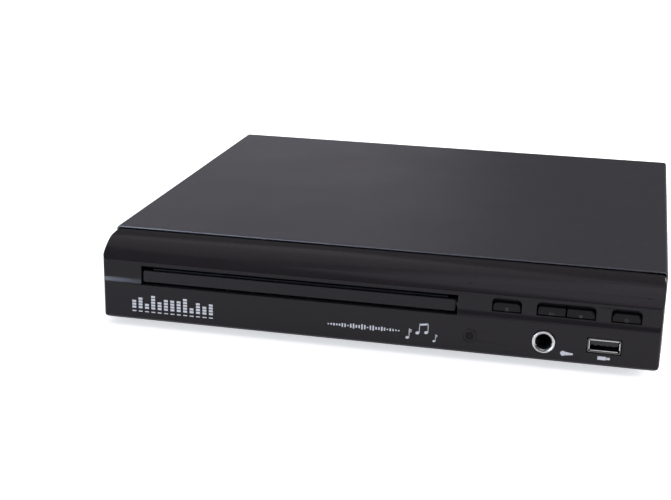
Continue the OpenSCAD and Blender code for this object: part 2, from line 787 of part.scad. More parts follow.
module tact_switches() color([0.2, 0.2, 0.2]) seat() {
    for (x = button_xs) {
        span([x - switch_w / 2, switch_y + 0.9, button_mid_z - switch_w / 2],
             [x + switch_w / 2, button_board_y, button_mid_z + switch_w / 2]);
        rod_along(x, button_mid_z, switch_y + button_travel, switch_y + 1, 1.7);
    }
}

// press button: rounded cap, retaining collar behind the wall and a stem to its switch
module button(i) color([0.21, 0.2, 0.22]) seat() translate([button_xs[i], 0, 0]) {
    left_r = i == 2 ? 0.3 : button_r - button_gap;
    right_r = i == 1 ? 0.3 : button_r - button_gap;
    run_y(band_y + 0.1, collar_y + 0.5) translate([0, button_z]) difference() {
        translate([-button_w / 2, 0]) square([button_w, button_h]);
        translate([button_w / 2, button_h]) corner_bit(right_r);
        mirror([1, 0]) translate([button_w / 2, button_h]) corner_bit(left_r);
    }
    span([-button_w / 2, collar_y, button_z - 1],
         [button_w / 2, collar_y + collar_t, button_z + button_h + button_gap_top + 0.9]);
    rod_along(0, button_mid_z, collar_y, switch_y, 1.5);
}

// ---------------------------------------------------------------- tray and loader

// tray seen from above: plate, two side rails, open window for the pickup
module tray_plan() {
    half = tray_w / 2;
    difference() {
        translate([tray_x - half, tray_y]) square([tray_w, rail_end - tray_y]);
        translate([tray_x - half + rail_w, plate_end]) square([tray_w - 2 * rail_w, far]);
        translate([tray_x - window_w / 2, spindle_y]) square([window_w, far]);
        translate([tray_x, spindle_y]) circle(window_w / 2);
    }
}

module disc_tray() color([0.12, 0.12, 0.13]) seat() {
    half = tray_w / 2;
    skin = 1.4;
    difference() {
        run_z(tray_z, tray_top) tray_plan();
        post(tray_x, spindle_y, tray_z + tray_floor, tray_top + 1, recess_r);
        post(tray_x, spindle_y, tray_z + tray_floor - small_step, tray_top + 1, small_r);
        // finger scoops beside the disc, front left and front right
        for (s = [-1, 1]) translate([tray_x + s * 46, spindle_y - 44, tray_z + tray_floor])
            cylinder(r = 11, h = 9);
        // the corners outside the recess are hollow underneath
        run_z(tray_z - 1, tray_top - skin) difference() {
            translate([tray_x - half + 3, tray_y + 2]) square([tray_w - 6, plate_end - tray_y - 4]);
            translate([tray_x, spindle_y]) circle(recess_r + 1.4);
            for (s = [-1, 1]) translate([tray_x + s * 46, spindle_y - 44]) circle(12.4);
            translate([tray_x - window_w / 2 - 1.6, spindle_y]) square([window_w + 3.2, far]);
        }
    }
    // rack along the right edge, meshing with the tray pinion
    translate([tray_edge, tray_y + 2, 0])
        run_z(rack_z, rack_z + rack_h)
            rack_outline(tray_module, rail_end - tray_y - 2, pinion_y - tray_y - 2);
}

module tray_door() color([0.2, 0.2, 0.21]) seat() {
    z0 = slot_low + door_gap_low;
    difference() {
        run_y(door_y, tray_y) translate([tray_x, z0]) plate_outline(door_w, door_h, 0.5, 0.5);
        // hollow back
        span([tray_x - door_w / 2 + 2, door_y + 1.6, z0 + 4.6],
             [tray_x + door_w / 2 - 2, tray_y + 1, z0 + 5.2]);
    }
}

module loader_frame() color([0.16, 0.16, 0.17]) seat() {
    difference() {
        union() {
            // deck, side walls and feet
            span([loader_left, loader_y, deck_z], [loader_right, loader_end, deck_z + deck_t]);
            for (x = [loader_left, loader_right - loader_wall])
                span([x, loader_y, floor_z], [x + loader_wall, loader_end, loader_top]);
            span([loader_left, loader_end - loader_wall, floor_z],
                 [loader_right, loader_end, loader_top]);
            for (p = loader_feet) post(p[0], p[1], floor_z, deck_z + 0.5, 4.5);
            // ledges that guide the tray from above
            for (y = [10, 70, 130]) {
                span([loader_left, y, tray_top + 0.4], [loader_left + 8, y + 10, loader_top]);
                span([loader_right - 8, y, tray_top + 0.4], [loader_right, y + 10, loader_top]);
            }
            // apron that carries the slider's guide pins
            span([tray_x - bay_half + 4, cam_y - 4.4, floor_z],
                 [tray_x + bay_half - 20, cam_y - 1.4, deck_z + 0.5]);
            // shelf for the gears and the motor, on two legs
            span([loader_right - 1, shelf_y0, deck_z], [shelf_x, shelf_y1, deck_z + deck_t]);
            for (y = [shelf_y0 + 8, shelf_y1 - 5]) post(shelf_x - 5, y, chassis_t, deck_z + 0.5, 3.5);
        }
        // bay for the tilting frame
        span([tray_x - bay_half, cam_y - 1.4, 0], [tray_x + bay_half, tilt_y1 + 1, deck_z + deck_t + 1]);
        // window for the tray pinion and room for the gear under it
        span([loader_right - 9, pinion_y - pinion_r - 2, deck_z - 1],
             [pinion_x + pinion_r + 2, pinion_y + pinion_r + 2, rack_z + rack_h + 1.2]);
        span([loader_right - 9, pinion_y - large_r - 2, large_z - 0.5],
             [loader_right + 1, pinion_y + large_r + 2, deck_z]);
        // counterbores, so that the screw heads stay clear of the tray
        for (p = loader_feet) post(p[0], p[1], deck_z + 0.6, deck_z + 9, 3.2);
        post(motor_x, motor_y, deck_z - 1, deck_z + deck_t + 1, 3.2);
    }
    // ears that carry the tilting frame's two pins
    for (s = [-1, 1]) difference() {
        span([tray_x + s * (bay_half + 1) - 1.5, pivot_y - 4, floor_z + 1.5],
             [tray_x + s * (bay_half + 1) + 1.5, pivot_y + 4, deck_z + 0.5]);
        translate([tray_x + s * (bay_half + 1), pivot_y, pivot_z]) rotate([0, 90, 0])
            cylinder(r = 2 + running, h = 8, center = true);
    }
    // two guide pins of the cam slider
    for (x = cam_guides) rod_along(x, cam_guide_z, cam_y - 1.6, cam_y + cam_t + 1.2, cam_guide_r);
    // arm and axle of the tray pinion, and the pulley gear's axle
    span([loader_right - 1, pinion_y - 3, floor_z], [pinion_x + 3, pinion_y + 3, large_z - gap]);
    post(pinion_x, pinion_y, floor_z, rack_z + rack_h + 0.6, shaft_r);
    post(pulley_x, pulley_y, pulley_z, deck_z + 0.5, shaft_r);
}

module loader_screws() color([0.8, 0.8, 0.82]) seat() {
    for (p = loader_feet) translate([p[0], p[1], deck_z + 0.6]) screw_head(screw_head_r);
    for (p = concat(board_feet, av_feet)) translate([p[0], p[1], board_top]) screw_head(screw_head_r);
}

module clamper_bridge() color([0.75, 0.76, 0.77]) seat() {
    difference() {
        union() {
            span([loader_left, spindle_y - 13, loader_top],
                 [loader_right, spindle_y + 13, loader_top + bridge_t]);
            for (x = [loader_left, loader_right - 6])
                span([x, spindle_y - 20, loader_top], [x + 6, spindle_y + 20, loader_top + bridge_t]);
            post(tray_x, spindle_y, loader_top, loader_top + bridge_t, 17);
        }
        post(tray_x, spindle_y, 0, 40, 11);
        for (s = [-1, 1]) span([tray_x + s * 40 - 12, spindle_y - 5, 0],
                               [tray_x + s * 40 + 12, spindle_y + 5, 40]);
    }
}

module clamper_puck() color([0.15, 0.15, 0.16]) seat() translate([tray_x, spindle_y, 0]) {
    low = tray_top + 0.6;
    top = loader_top + bridge_t + gap;
    difference() {
        union() {
            translate([0, 0, low]) cylinder(r = puck_r, h = 1.4);
            translate([0, 0, low]) cylinder(r = 10.4, h = top - low + 0.4);
            translate([0, 0, top]) cylinder(r = 13, h = 1.2);
        }
        translate([0, 0, low - 1]) cylinder(r = 8.2, h = 1.8);
        for (a = [0:60:300]) rotate(a) translate([7, 0, top + 0.5]) cylinder(r = 1.6, h = 3);
    }
}

module tray_pinion() color([0.85, 0.84, 0.8]) seat() translate([pinion_x, pinion_y, 0]) {
    difference() {
        union() {
            // a space of the upper gear faces the rack, a tooth of the lower one faces the pulley gear
            run_z(rack_z + 0.1, rack_z + rack_h) rotate(180 + 180 / tray_teeth)
                gear_outline(tray_module, tray_teeth);
            run_z(large_z, large_z + large_h) rotate(train_angle) gear_outline(gear_module, large_teeth);
            translate([0, 0, large_z]) cylinder(r = 4, h = rack_z + 0.2 - large_z);
        }
        post(0, 0, 0, far, shaft_r + running);
        for (a = [0:72:288]) rotate(a) translate([9.2, 0, 0]) cylinder(r = 2.4, h = deck_z);
    }
}

// two pulley flanges with a belt groove between them
module pulley(r, z) {
    translate([0, 0, z]) cylinder(r = r + groove, h = 0.6);
    translate([0, 0, z]) cylinder(r = r, h = pulley_h);
    translate([0, 0, z + pulley_h - 0.6]) cylinder(r = r + groove, h = 0.6);
}

module pulley_gear() color([0.9, 0.89, 0.85]) seat() translate([pulley_x, pulley_y, 0]) {
    difference() {
        union() {
            pulley(pulley_r, pulley_z);
            run_z(pulley_z, large_z + large_h + 0.4)
                rotate(180 + train_angle + 180 / small_teeth) gear_outline(gear_module, small_teeth);
        }
        post(0, 0, 0, far, shaft_r + running);
        for (a = [0:60:300]) rotate(a) translate([9, 0, 0]) cylinder(r = 2.1, h = large_z - 0.2);
    }
}

module motor_pulley() color([0.8, 0.7, 0.4]) seat() translate([motor_x, motor_y, 0]) difference() {
    union() {
        pulley(motor_pulley_r, pulley_z);
        translate([0, 0, pulley_z]) cylinder(r = 2.2, h = 5);
    }
    post(0, 0, pulley_z + 1, deck_z, 1 + running);
}

// belt round two pulleys of radius a and b: an arc on each and two straight runs on their tangents
module belt_loop(a, b) {
    t = acos((a - b) / pulley_pitch);
    run = pulley_pitch * sin(t);
    lap = 0.1;
    rotate(t) rotate_extrude(angle = 360 - 2 * t) translate([a, 0]) square(belt_t);
    translate([pulley_pitch, 0, 0]) rotate(-t) rotate_extrude(angle = 2 * t)
        translate([b, 0]) square(belt_t);
    for (s = [0, 1]) mirror([0, s, 0]) rotate(t - 90) translate([-lap, a + hair, 0])
        cube([run + 2 * lap, belt_t - 2 * hair, belt_t]);
}

module drive_belt() color([0.07, 0.07, 0.07]) seat()
    translate([pulley_x, pulley_y, pulley_z + (pulley_h - belt_t) / 2]) rotate(motor_angle)
        belt_loop(pulley_r + 0.15, motor_pulley_r + 0.15);

module loading_motor() color([0.7, 0.7, 0.72]) seat() translate([motor_x, motor_y, 0]) {
    difference() {
        post(0, 0, deck_z + deck_t, deck_z + deck_t + 13, 10);
        for (s = [-1, 1]) translate([s * 12.5, 0, deck_z + deck_t + 8]) cube([8, 30, 20], center = true);
    }
    post(0, 0, deck_z - 0.4, deck_z + deck_t + 0.5, 3);
    post(0, 0, pulley_z + 1.5, deck_z, 1);
}

// ---------------------------------------------------------------- disc drive

// slot of half width r from the origin to a point dx across and dz up, its straight part a hair
// narrower than its round ends
module slot_to(dx, dz, r) {
    half = r - hair;
    circle(r);
    translate([dx, dz]) circle(r);
    rotate(atan2(dz, dx)) translate([0, -half]) square([norm([dx, dz]), 2 * half]);
}

module cam_slider() color([0.88, 0.87, 0.84]) seat() run_y(cam_y, cam_y + cam_t) difference() {
    translate([cam_x0, cam_low]) square([cam_x1 - cam_x0, cam_high - cam_low]);
    translate([cam_pin_x, cam_pin_z]) slot_to(cam_travel, -cam_drop, cam_pin_r + gap);
    for (x = cam_guides) translate([x, cam_guide_z]) slot_to(cam_travel, 0, cam_guide_r + gap);
}

module tilt_frame() color([0.2, 0.2, 0.21]) seat() {
    x = tilt_half;
    difference() {
        span([tray_x - x, tilt_y0, tilt_z], [tray_x + x, tilt_y1, tilt_z + tilt_h]);
        span([tray_x - x + tilt_bar, tilt_y0 + 7, 0], [tray_x + x - tilt_bar, tilt_y1 - 6, 40]);
        // lightening pockets in the front bar
        for (i = [-3:3]) span([tray_x + i * 12 - 4.8, tilt_y0 + 1.5, tilt_z + 1.4],
                              [tray_x + i * 12 + 4.8, tilt_y0 + 5.5, 40]);
    }
    both_sides() {
        // lugs under the bushes
        for (y = [bush_y0, bush_y1]) span([bush_x - 4.6, y - 5, tilt_z], [x - 0.5, y + 5, bush_z]);
        // pin in the loader's ear
        translate([x - 1, pivot_y, pivot_z]) rotate([0, 90, 0]) cylinder(r = 2, h = 5.3);
    }
    // pin in the slider's slot
    rod_along(cam_pin_x, cam_pin_z, cam_y - 1, tilt_y0 + 1, cam_pin_r);
}

module rubber_bushes() color([0.1, 0.1, 0.1]) seat() {
    for (s = [-1, 1]) for (y = [bush_y0, bush_y1]) translate([tray_x + s * bush_x, y, 0]) difference() {
        union() {
            post(0, 0, bush_z, plate_z, 4.4);
            post(0, 0, plate_z, plate_z + plate_t, 3);
            post(0, 0, plate_z + plate_t, bush_z + bush_h, 4.4);
        }
        post(0, 0, 0, 40, 1.3);
    }
}

module traverse_plate() color([0.78, 0.79, 0.8]) seat() {
    half = tilt_half - tilt_bar - 1;
    difference() {
        span([tray_x - half, 25.5, plate_z], [tray_x + half, 141, plate_z + plate_t]);
        span([tray_x - sled_half - 1, sled_y0 - 0.6, 0],
             [tray_x + sled_half + 1.5, sled_y0 + sled_len + pickup_travel + 1, 40]);
        for (s = [-1, 1]) for (y = [bush_y0, bush_y1]) post(tray_x + s * bush_x, y, 0, 40, 3);
        post(tray_x, spindle_y, 0, 40, 6.2);
        span([tray_x - 30, 32, 0], [tray_x - 19, 44, 40]);
        span([tray_x + 19, 32, 0], [tray_x + 30, 44, 40]);
    }
    // clips that hold the ends of the rods
    both_sides() for (y = [rod_y0, rod_y1]) difference() {
        span([rod_pitch / 2 - 2.6, y - 2, rod_z - 2.2], [rod_pitch / 2 + 2.6, y + 2, plate_z]);
        rod_along(rod_pitch / 2, rod_z, y - 3, y + 3, rod_r + 0.02);
    }
    // strap that holds the feed motor
    span([feed_x + 6, feed_motor_y - 4, 5], [feed_x + 7, feed_motor_y + 4, plate_z + 0.1]);
    // axle of the feed gear
    post(feed_x, feed_y, feed_z - 0.8, plate_z, 0.9);
}

module guide_rod(s) color([0.9, 0.9, 0.92]) seat()
    rod_along(tray_x + s * rod_pitch / 2, rod_z, rod_y0 - 2, rod_y1 + 2, rod_r);

module spindle_motor() color([0.75, 0.75, 0.77]) seat() translate([tray_x, spindle_y, 0]) {
    post(0, 0, 8.2, plate_z - 0.4, 12);
    post(0, 0, plate_z - 0.4, plate_z, 9);
    post(0, 0, plate_z, 14.8, 6);
    post(0, 0, 14.8, hub_z - 1.4, 1);
}

module turntable() color([0.25, 0.25, 0.26]) seat() translate([tray_x, spindle_y, 0]) {
    top = tray_z + tray_floor + 0.9;
    difference() {
        union() {
            translate([0, 0, 15.2]) cylinder(r = turntable_r, h = top - 15.2);
            translate([0, 0, top]) cylinder(r = 7.4, h = 0.9);
            translate([0, 0, top + 0.9]) cylinder(r1 = 7.4, r2 = 5.2, h = hub_z - top - 0.9);
        }
        post(0, 0, 0, hub_z - 1, 1 + running);
        translate([0, 0, 14]) difference() {
            cylinder(r = turntable_r - 1.6, h = 2.6);
            cylinder(r = 4, h = 3);
        }
        for (a = [0:120:240]) rotate(a) translate([6.4, 0, top + 0.3]) cylinder(r = 1.1, h = 4);
    }
}

module pickup_sled() color([0.3, 0.3, 0.32]) seat() {
    x = sled_half;
    difference() {
        union() {
            span([tray_x - x, sled_y0, sled_z], [tray_x + x, sled_y0 + sled_len, sled_z + sled_side]);
            span([tray_x - 17, sled_y0, sled_z], [tray_x + 17, sled_y0 + sled_len, sled_z + sled_h]);
        }
        rod_along(tray_x - rod_pitch / 2, rod_z, 0, far, rod_r + running);
        span([tray_x + rod_pitch / 2 - rod_r - gap, 0, rod_z - rod_r - 0.15],
             [tray_x + rod_pitch / 2 + rod_r + gap, far, rod_z + rod_r + 0.15]);
        post(tray_x, lens_y, sled_z + sled_h - 1.2, 40, 6);
        span([tray_x - 13, sled_y0 + 17, sled_z + 2], [tray_x + 13, sled_y0 + 22, 40]);
    }
    // rack towards the feed gear
    translate([tray_x + x, sled_y0, 0])
        run_z(feed_z, feed_z + feed_h) rack_outline(feed_module, feed_rack, feed_y - sled_y0);
}

module pickup_lens() color([0.4, 0.5, 0.7]) seat() translate([tray_x, lens_y, 0]) {
    z = sled_z + sled_h - 1.2;
    post(0, 0, z, z + 1.4, 4.6);
    translate([0, 0, z + 1.4]) cylinder(r1 = 2.6, r2 = 2, h = 0.8);
}

module feed_motor() color([0.7, 0.7, 0.72]) seat() translate([feed_x, feed_motor_y, 0]) {
    post(0, 0, 4.2, feed_z - 0.5, 6);
    post(0, 0, feed_z - 0.5, plate_z, 0.8);
}

module feed_pinion() color([0.85, 0.84, 0.8]) seat() translate([feed_x, feed_motor_y, 0]) difference() {
    run_z(feed_z, feed_z + feed_h) rotate(-90) gear_outline(feed_module, feed_pinion_teeth);
    post(0, 0, 0, 40, 0.8 + running);
}

module feed_gear() color([0.9, 0.89, 0.85]) seat() translate([feed_x, feed_y, 0]) difference() {
    run_z(feed_z, feed_z + feed_h) rotate(180 + 180 / feed_teeth) gear_outline(feed_module, feed_teeth);
    post(0, 0, 0, 40, 0.9 + running);
}

// ---------------------------------------------------------------- boards and wiring

module main_board() color([0.08, 0.3, 0.15]) seat() difference() {
    span([main_x0, main_y0, floor_z], [main_x1, main_y1, floor_z + board_t]);
    for (p = board_feet) post(p[0], p[1], 0, far, board_hole_r);
}

module main_chips() color([0.1, 0.1, 0.11]) seat() {
    top = board_top;
    cy = (main_y0 + main_y1) / 2;
    // decoder, memory behind it and motor driver on its right
    span([board_mid - chip_w / 2, cy - chip_w / 2, top],
         [board_mid + chip_w / 2, cy + chip_w / 2, top + 1.6]);
    span([board_mid - 11, cy + chip_w / 2 + 5, top], [board_mid + 9, cy + chip_w / 2 + 15, top + 1.2]);
    span([board_mid + chip_w / 2 + 5, cy - 10, top], [board_mid + chip_w / 2 + 13, cy + 6, top + 1.4]);
    // row of small capacitors along the left edge
    for (i = [0:4]) post(main_x0 + 12, cy - 20 + i * 9, top, top + 7, 2.6);
    // connectors of the front ribbon and of the disc drive
    span([ribbon_x1 - ribbon_w - 1, main_y0 + 1.4, top], [ribbon_x1 + 1, main_y0 + 5, top + 5]);
    span([board_mid - 6, main_y1 - 4, top], [board_mid + 14, main_y1 - 1, top + 4.5]);
}

module power_board() color([0.5, 0.36, 0.16]) seat() difference() {
    span([main_x0, power_y0, floor_z], [main_x1, power_y1, board_top]);
    for (p = board_feet) post(p[0], p[1], 0, far, board_hole_r);
}

module transformer() color([0.85, 0.75, 0.3]) seat() {
    x = transformer_x;
    y = (power_y0 + power_y1) / 2;
    w = transformer_w / 2;
    for (s = [-1, 1])
        span([x - w, y + s * 8 - 3, board_top + 1],
             [x + w, y + s * 8 + 3, board_top + transformer_h - 1]);
    post(x, y, board_top, board_top + transformer_h, w - 1.2);
}

module filter_capacitor() color([0.12, 0.14, 0.3]) seat() {
    top = board_top;
    x = main_x1 - can_r - 1;
    y = power_y0 + 24;
    difference() {
        post(x, y, top, top + can_h, can_r);
        // vent cut in three strokes across the can's top
        for (a = [0:60:120]) translate([x, y, top + can_h]) rotate(a)
            cube([can_r * 1.25, can_top_cut, 1], center = true);
    }
    for (i = [0:2])
        post(main_x0 + small_can_r + 2, power_y0 + 12 + i * 11, top, top + small_can_h, small_can_r);
}

module heat_sink() color([0.8, 0.8, 0.82]) seat() {
    y = power_y0 + 6;
    fins = 6;
    fin_t = 1.4;
    pitch = (sink_d - fin_t) / (fins - 1);
    span([sink_x - 1, y, board_top], [sink_x + 1, y + sink_d, board_top + sink_h]);
    for (i = [0:fins - 1])
        span([sink_x + 0.9, y + i * pitch, board_top + 2],
             [sink_x + 6, y + i * pitch + fin_t, board_top + sink_h]);
}

// flat ribbon from the button board back over the shelf to the decoder board
module front_ribbon() color([0.85, 0.85, 0.86]) seat() {
    y0 = button_board_y + board_t + 1.6;
    y1 = main_y0 + 3;
    z0 = 26.4;
    z1 = visor_top - bezel_wall - 1.6;
    low = board_top + 5;
    run_x(ribbon_x1 - ribbon_w, ribbon_x1) polygon([
        [y0, z0], [y0 + 0.4, z0], [y0 + 0.4, z1 - 0.4], [y1, z1 - 0.4], [y1, low],
        [y1 + 0.4, low], [y1 + 0.4, z1], [y0, z1]
    ]);
}

// five wires that arch from the power board to the decoder board
module power_harness() color([0.8, 0.2, 0.15]) seat() {
    mid = (main_y1 + power_y0) / 2;
    x = main_x0 + 14;
    top = board_top;
    r = board_space / 2 + 3.5;
    for (i = [0:4]) translate([x + i * 2, mid, top + 5])
        rotate([0, 0, 90]) rotate([90, 0, 0]) rotate_extrude(angle = 180)
            translate([r, 0]) circle(0.6, $fn = 16);
    for (s = [-1, 1]) span([x - 2, mid + s * r - 1.6, top], [x + 10, mid + s * r + 1.6, top + 5]);
}

module av_board() color([0.08, 0.3, 0.15]) seat() difference() {
    span([av_x - av_half, av_y0, floor_z], [av_x + av_half, av_y1, board_top]);
    for (p = av_feet) post(p[0], p[1], 0, far, board_hole_r);
}

module av_socket_block() color([0.1, 0.1, 0.1]) seat() difference() {
    half = barrel_pitch + 7.5;
    span([av_x - half, panel_y - av_block_d, board_top], [av_x + half, panel_y - gap, 31]);
    for (z = av_z) for (i = [-1:1])
        rod_along(av_x + i * barrel_pitch, z, panel_y - av_block_d + 3, panel_y + 1, 2);
}

module av_barrels() color([0.85, 0.85, 0.87]) seat()
    for (z = av_z) for (i = [-1:1]) difference() {
        rod_along(av_x + i * barrel_pitch, z, panel_y - gap, back_y, barrel_r);
        rod_along(av_x + i * barrel_pitch, z, panel_y - 1, back_y + 1, insulator_r);
    }

// moulded insulator in each barrel, with the hole for the plug's pin
module av_insulators() color([0.9, 0.9, 0.88]) seat()
    for (z = av_z) for (i = [-1:1]) difference() {
        rod_along(av_x + i * barrel_pitch, z, panel_y - gap + 0.05, back_y - 0.8, insulator_r - 0.05);
        rod_along(av_x + i * barrel_pitch, z, panel_y - 1, back_y + 1, 1.7);
    }

module mains_inlet() color([0.09, 0.09, 0.1]) seat() {
    w = inlet_w / 2;
    h = inlet_h / 2;
    y0 = panel_y - inlet_d - 2;
    difference() {
        union() {
            span([inlet_x - w - 2, y0, inlet_z - h - 1.5],
                 [inlet_x + w + 2, body_depth + 0.6, inlet_z + h + 1.5]);
            span([inlet_x - w - 3.4, panel_y - 1.7, inlet_z - h - 2.9],
                 [inlet_x + w + 3.4, panel_y - gap, inlet_z + h + 2.9]);
        }
        run_y(body_depth + 0.6 - inlet_d, body_depth + 2) translate([inlet_x, inlet_z]) {
            for (s = [-1, 1]) translate([s * (w - h), 0]) circle(h);
            square([2 * (w - h), inlet_h - 1.2], center = true);
        }
    }
}

// two round pins in the mains socket, pressed into its back wall
module inlet_pins() color([0.85, 0.85, 0.87]) seat()
    for (s = [-1, 1]) rod_along(inlet_x + s * inlet_pin_x, inlet_z, panel_y - inlet_d + 1.2 + hair,
                                body_depth - 2, inlet_pin_r);

// ---------------------------------------------------------------- assembly

base_chassis();
top_cover();
rear_panel();
front_bezel();
cover_screws();
foot(0);  // foot_front_left
foot(1);  // foot_front_right
foot(2);  // foot_rear_left
foot(3);  // foot_rear_right
mic_jack_sleeve();
mic_jack_body();
usb_shell();
usb_tongue();
jack_board();
window_lens();
button_board();
tact_switches();
button(0);  // button_1
button(1);  // button_2
button(2);  // button_3
button(3);  // button_4
disc_tray();
tray_door();
loader_frame();
loader_screws();
clamper_bridge();
clamper_puck();
tray_pinion();
pulley_gear();
motor_pulley();
drive_belt();
loading_motor();
cam_slider();
tilt_frame();
rubber_bushes();
traverse_plate();
guide_rod(-1);  // guide_rod_left
guide_rod(1);  // guide_rod_right
spindle_motor();
turntable();
pickup_sled();
pickup_lens();
feed_motor();
feed_pinion();
feed_gear();
main_board();
main_chips();
power_board();
transformer();
filter_capacitor();
heat_sink();
front_ribbon();
power_harness();
av_board();
av_socket_block();
av_barrels();
av_insulators();
mains_inlet();
inlet_pins();
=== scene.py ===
# %% [markdown]
# # Dressing a karaoke machine with a disc tray
#
# The machine is a flat disc player with a microphone jack: a folded steel cover, a moulded front
# with a rounded visor, a motor-driven tray behind a long door, four press buttons and two sockets.
# A CAD model already holds every piece at its real size and place. This lesson gives it looks:
# first the camera and the light, then the finishes, then the pieces that deserve a finer mesh than
# the CAD export has. Lengths are metres, as everywhere in Blender, and MM turns them from millimetres.

# %% Load the model that is to be dressed
import json
import math

import bmesh
import bpy
from mathutils import Matrix, Vector


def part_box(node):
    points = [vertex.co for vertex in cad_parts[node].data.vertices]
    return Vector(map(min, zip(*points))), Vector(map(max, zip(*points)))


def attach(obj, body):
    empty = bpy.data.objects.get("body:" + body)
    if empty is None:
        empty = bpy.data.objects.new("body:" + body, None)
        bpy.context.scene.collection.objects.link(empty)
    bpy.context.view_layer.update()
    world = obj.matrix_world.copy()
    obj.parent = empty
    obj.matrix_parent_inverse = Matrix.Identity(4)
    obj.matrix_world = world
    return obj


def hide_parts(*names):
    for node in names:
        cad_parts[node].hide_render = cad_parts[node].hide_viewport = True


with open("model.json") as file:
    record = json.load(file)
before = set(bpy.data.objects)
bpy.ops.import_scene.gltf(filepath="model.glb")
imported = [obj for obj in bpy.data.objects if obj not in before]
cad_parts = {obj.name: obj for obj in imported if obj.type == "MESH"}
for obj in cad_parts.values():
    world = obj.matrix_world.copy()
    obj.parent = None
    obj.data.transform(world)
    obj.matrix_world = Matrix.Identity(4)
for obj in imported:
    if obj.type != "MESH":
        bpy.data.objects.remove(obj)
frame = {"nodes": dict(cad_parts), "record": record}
MM = 0.001
NODES = frame["nodes"]
SLOT_OF = {part["node"]: part["material_slot"] for part in frame["record"]["subparts"]}
BODIES = frame["record"]["behaviour"]["bodies"]
BODY_OF = {node: body for body, nodes in BODIES.items() for node in nodes}
BUTTON_COUNT = 4
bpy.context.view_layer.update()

# %% [markdown]
# ## The camera
#
# The picture to match was taken from a little to the right and from above, with a long lens. The
# camera's place and angles were worked out from the corners of the machine, whose real width is
# known. A camera is turned most safely by its three axes: where it looks, what is right of it and
# what is above it. The small roll turns the last two about the first.

# %% Camera
VIEW_YAW = 0.22543
VIEW_DOWN = 0.30122
VIEW_ROLL = 0.01849
CAMERA_PLACE = (0.100994, -0.618265, 0.203979)
FILM_WIDTH = 36
FOCAL_LENGTH = 70.85

look = Vector((
    -math.sin(VIEW_YAW) * math.cos(VIEW_DOWN),
    math.cos(VIEW_YAW) * math.cos(VIEW_DOWN),
    -math.sin(VIEW_DOWN),
))
level = Vector((math.cos(VIEW_YAW), math.sin(VIEW_YAW), 0))
roll = Matrix.Rotation(-VIEW_ROLL, 3, look)
right = roll @ level
above = roll @ level.cross(look)

camera = bpy.data.objects.new("camera", bpy.data.cameras.new("camera"))
camera.data.sensor_width = FILM_WIDTH
camera.data.lens = FOCAL_LENGTH
camera.matrix_world = Matrix.Translation(CAMERA_PLACE) @ Matrix(
    (right, above, -look)).transposed().to_4x4()
bpy.context.scene.collection.objects.link(camera)
bpy.context.scene.camera = camera
print("the camera looks", [round(c, 3) for c in look], "with a roll of", round(math.degrees(VIEW_ROLL), 2))

# %% [markdown]
# ## Light and floor
#
# The machine stands in a photographer's studio: a white paper ground, a dim room round it and soft
# light from above. An even world light does most of the work. What shiny faces see of the world is
# graded from dim near the ground to bright overhead, as in a real studio, while the camera sees plain
# white. Five soft boxes add shape. A wide one above on the left and a low one behind let the cover fade
# from left to right and a little from back to front. A low bluish one in front on the left draws a
# streak on the front's slope, a large one over the front fills the visor, and a tall one on the right
# picks out the visor's end. The view transform is Standard, so that colours stay as written.

# %% Helpers that join values in a node tree
bpy.context.scene.view_settings.view_transform = "Standard"


def link_sum(tree, first, second):
    """Adds two values in a node tree, clamped to 1, and gives the sum's socket."""
    add = tree.nodes.new("ShaderNodeMath")
    add.operation = "ADD"
    add.use_clamp = True
    tree.links.new(first, add.inputs[0])
    tree.links.new(second, add.inputs[1])
    return add.outputs[0]


def link_product(tree, first, second):
    """Multiplies two values in a node tree and gives the product's socket."""
    times = tree.nodes.new("ShaderNodeMath")
    times.operation = "MULTIPLY"
    tree.links.new(first, times.inputs[0])
    tree.links.new(second, times.inputs[1])
    return times.outputs[0]


def link_range(tree, value, low, high, start=0.0, end=1.0):
    """Maps a value from start..end to low..high, clamped; low and high are numbers or sockets."""
    node = tree.nodes.new("ShaderNodeMapRange")
    node.inputs["From Min"].default_value = start
    node.inputs["From Max"].default_value = end
    for label, bound in (("To Min", low), ("To Max", high)):
        if isinstance(bound, (int, float)):
            node.inputs[label].default_value = bound
        else:
            tree.links.new(bound, node.inputs[label])
    tree.links.new(value, node.inputs["Value"])
    return node.outputs["Result"]


# %% World
WORLD_LEVEL = 0.5
DIM_ROOM = 0.12
OVERHEAD = 0.32
FADE_FROM = 0.3
FADE_TO = 0.85

world = bpy.data.worlds.new("studio")
bpy.context.scene.world = world
world.use_nodes = True
sky = world.node_tree
background = sky.nodes["Background"]
background.inputs["Color"].default_value = (1, 1, 1, 1)
light_path = sky.nodes.new("ShaderNodeLightPath")
way = sky.nodes.new("ShaderNodeTexCoord")
way_parts = sky.nodes.new("ShaderNodeSeparateXYZ")
sky.links.new(way.outputs["Generated"], way_parts.inputs["Vector"])
graded = link_range(sky, way_parts.outputs["Z"], DIM_ROOM, OVERHEAD, FADE_FROM, FADE_TO)
mirrored = link_sum(sky, light_path.outputs["Is Glossy Ray"], light_path.outputs["Is Transmission Ray"])
lit = link_range(sky, mirrored, WORLD_LEVEL, graded)
sky.links.new(link_range(sky, light_path.outputs["Is Camera Ray"], lit, 1.0), background.inputs["Strength"])


# %% Soft boxes
def soft_box(name, place, aim, width, height, power, colour=(1, 1, 1)):
    """A rectangular lamp at place that points at aim."""
    lamp = bpy.data.lights.new(name, "AREA")
    lamp.shape = "RECTANGLE"
    lamp.size = width
    lamp.size_y = height
    lamp.energy = power
    lamp.color = colour
    holder = bpy.data.objects.new(name, lamp)
    holder.location = place
    holder.rotation_euler = (Vector(aim) - Vector(place)).to_track_quat("-Z", "Y").to_euler()
    bpy.context.scene.collection.objects.link(holder)
    return holder


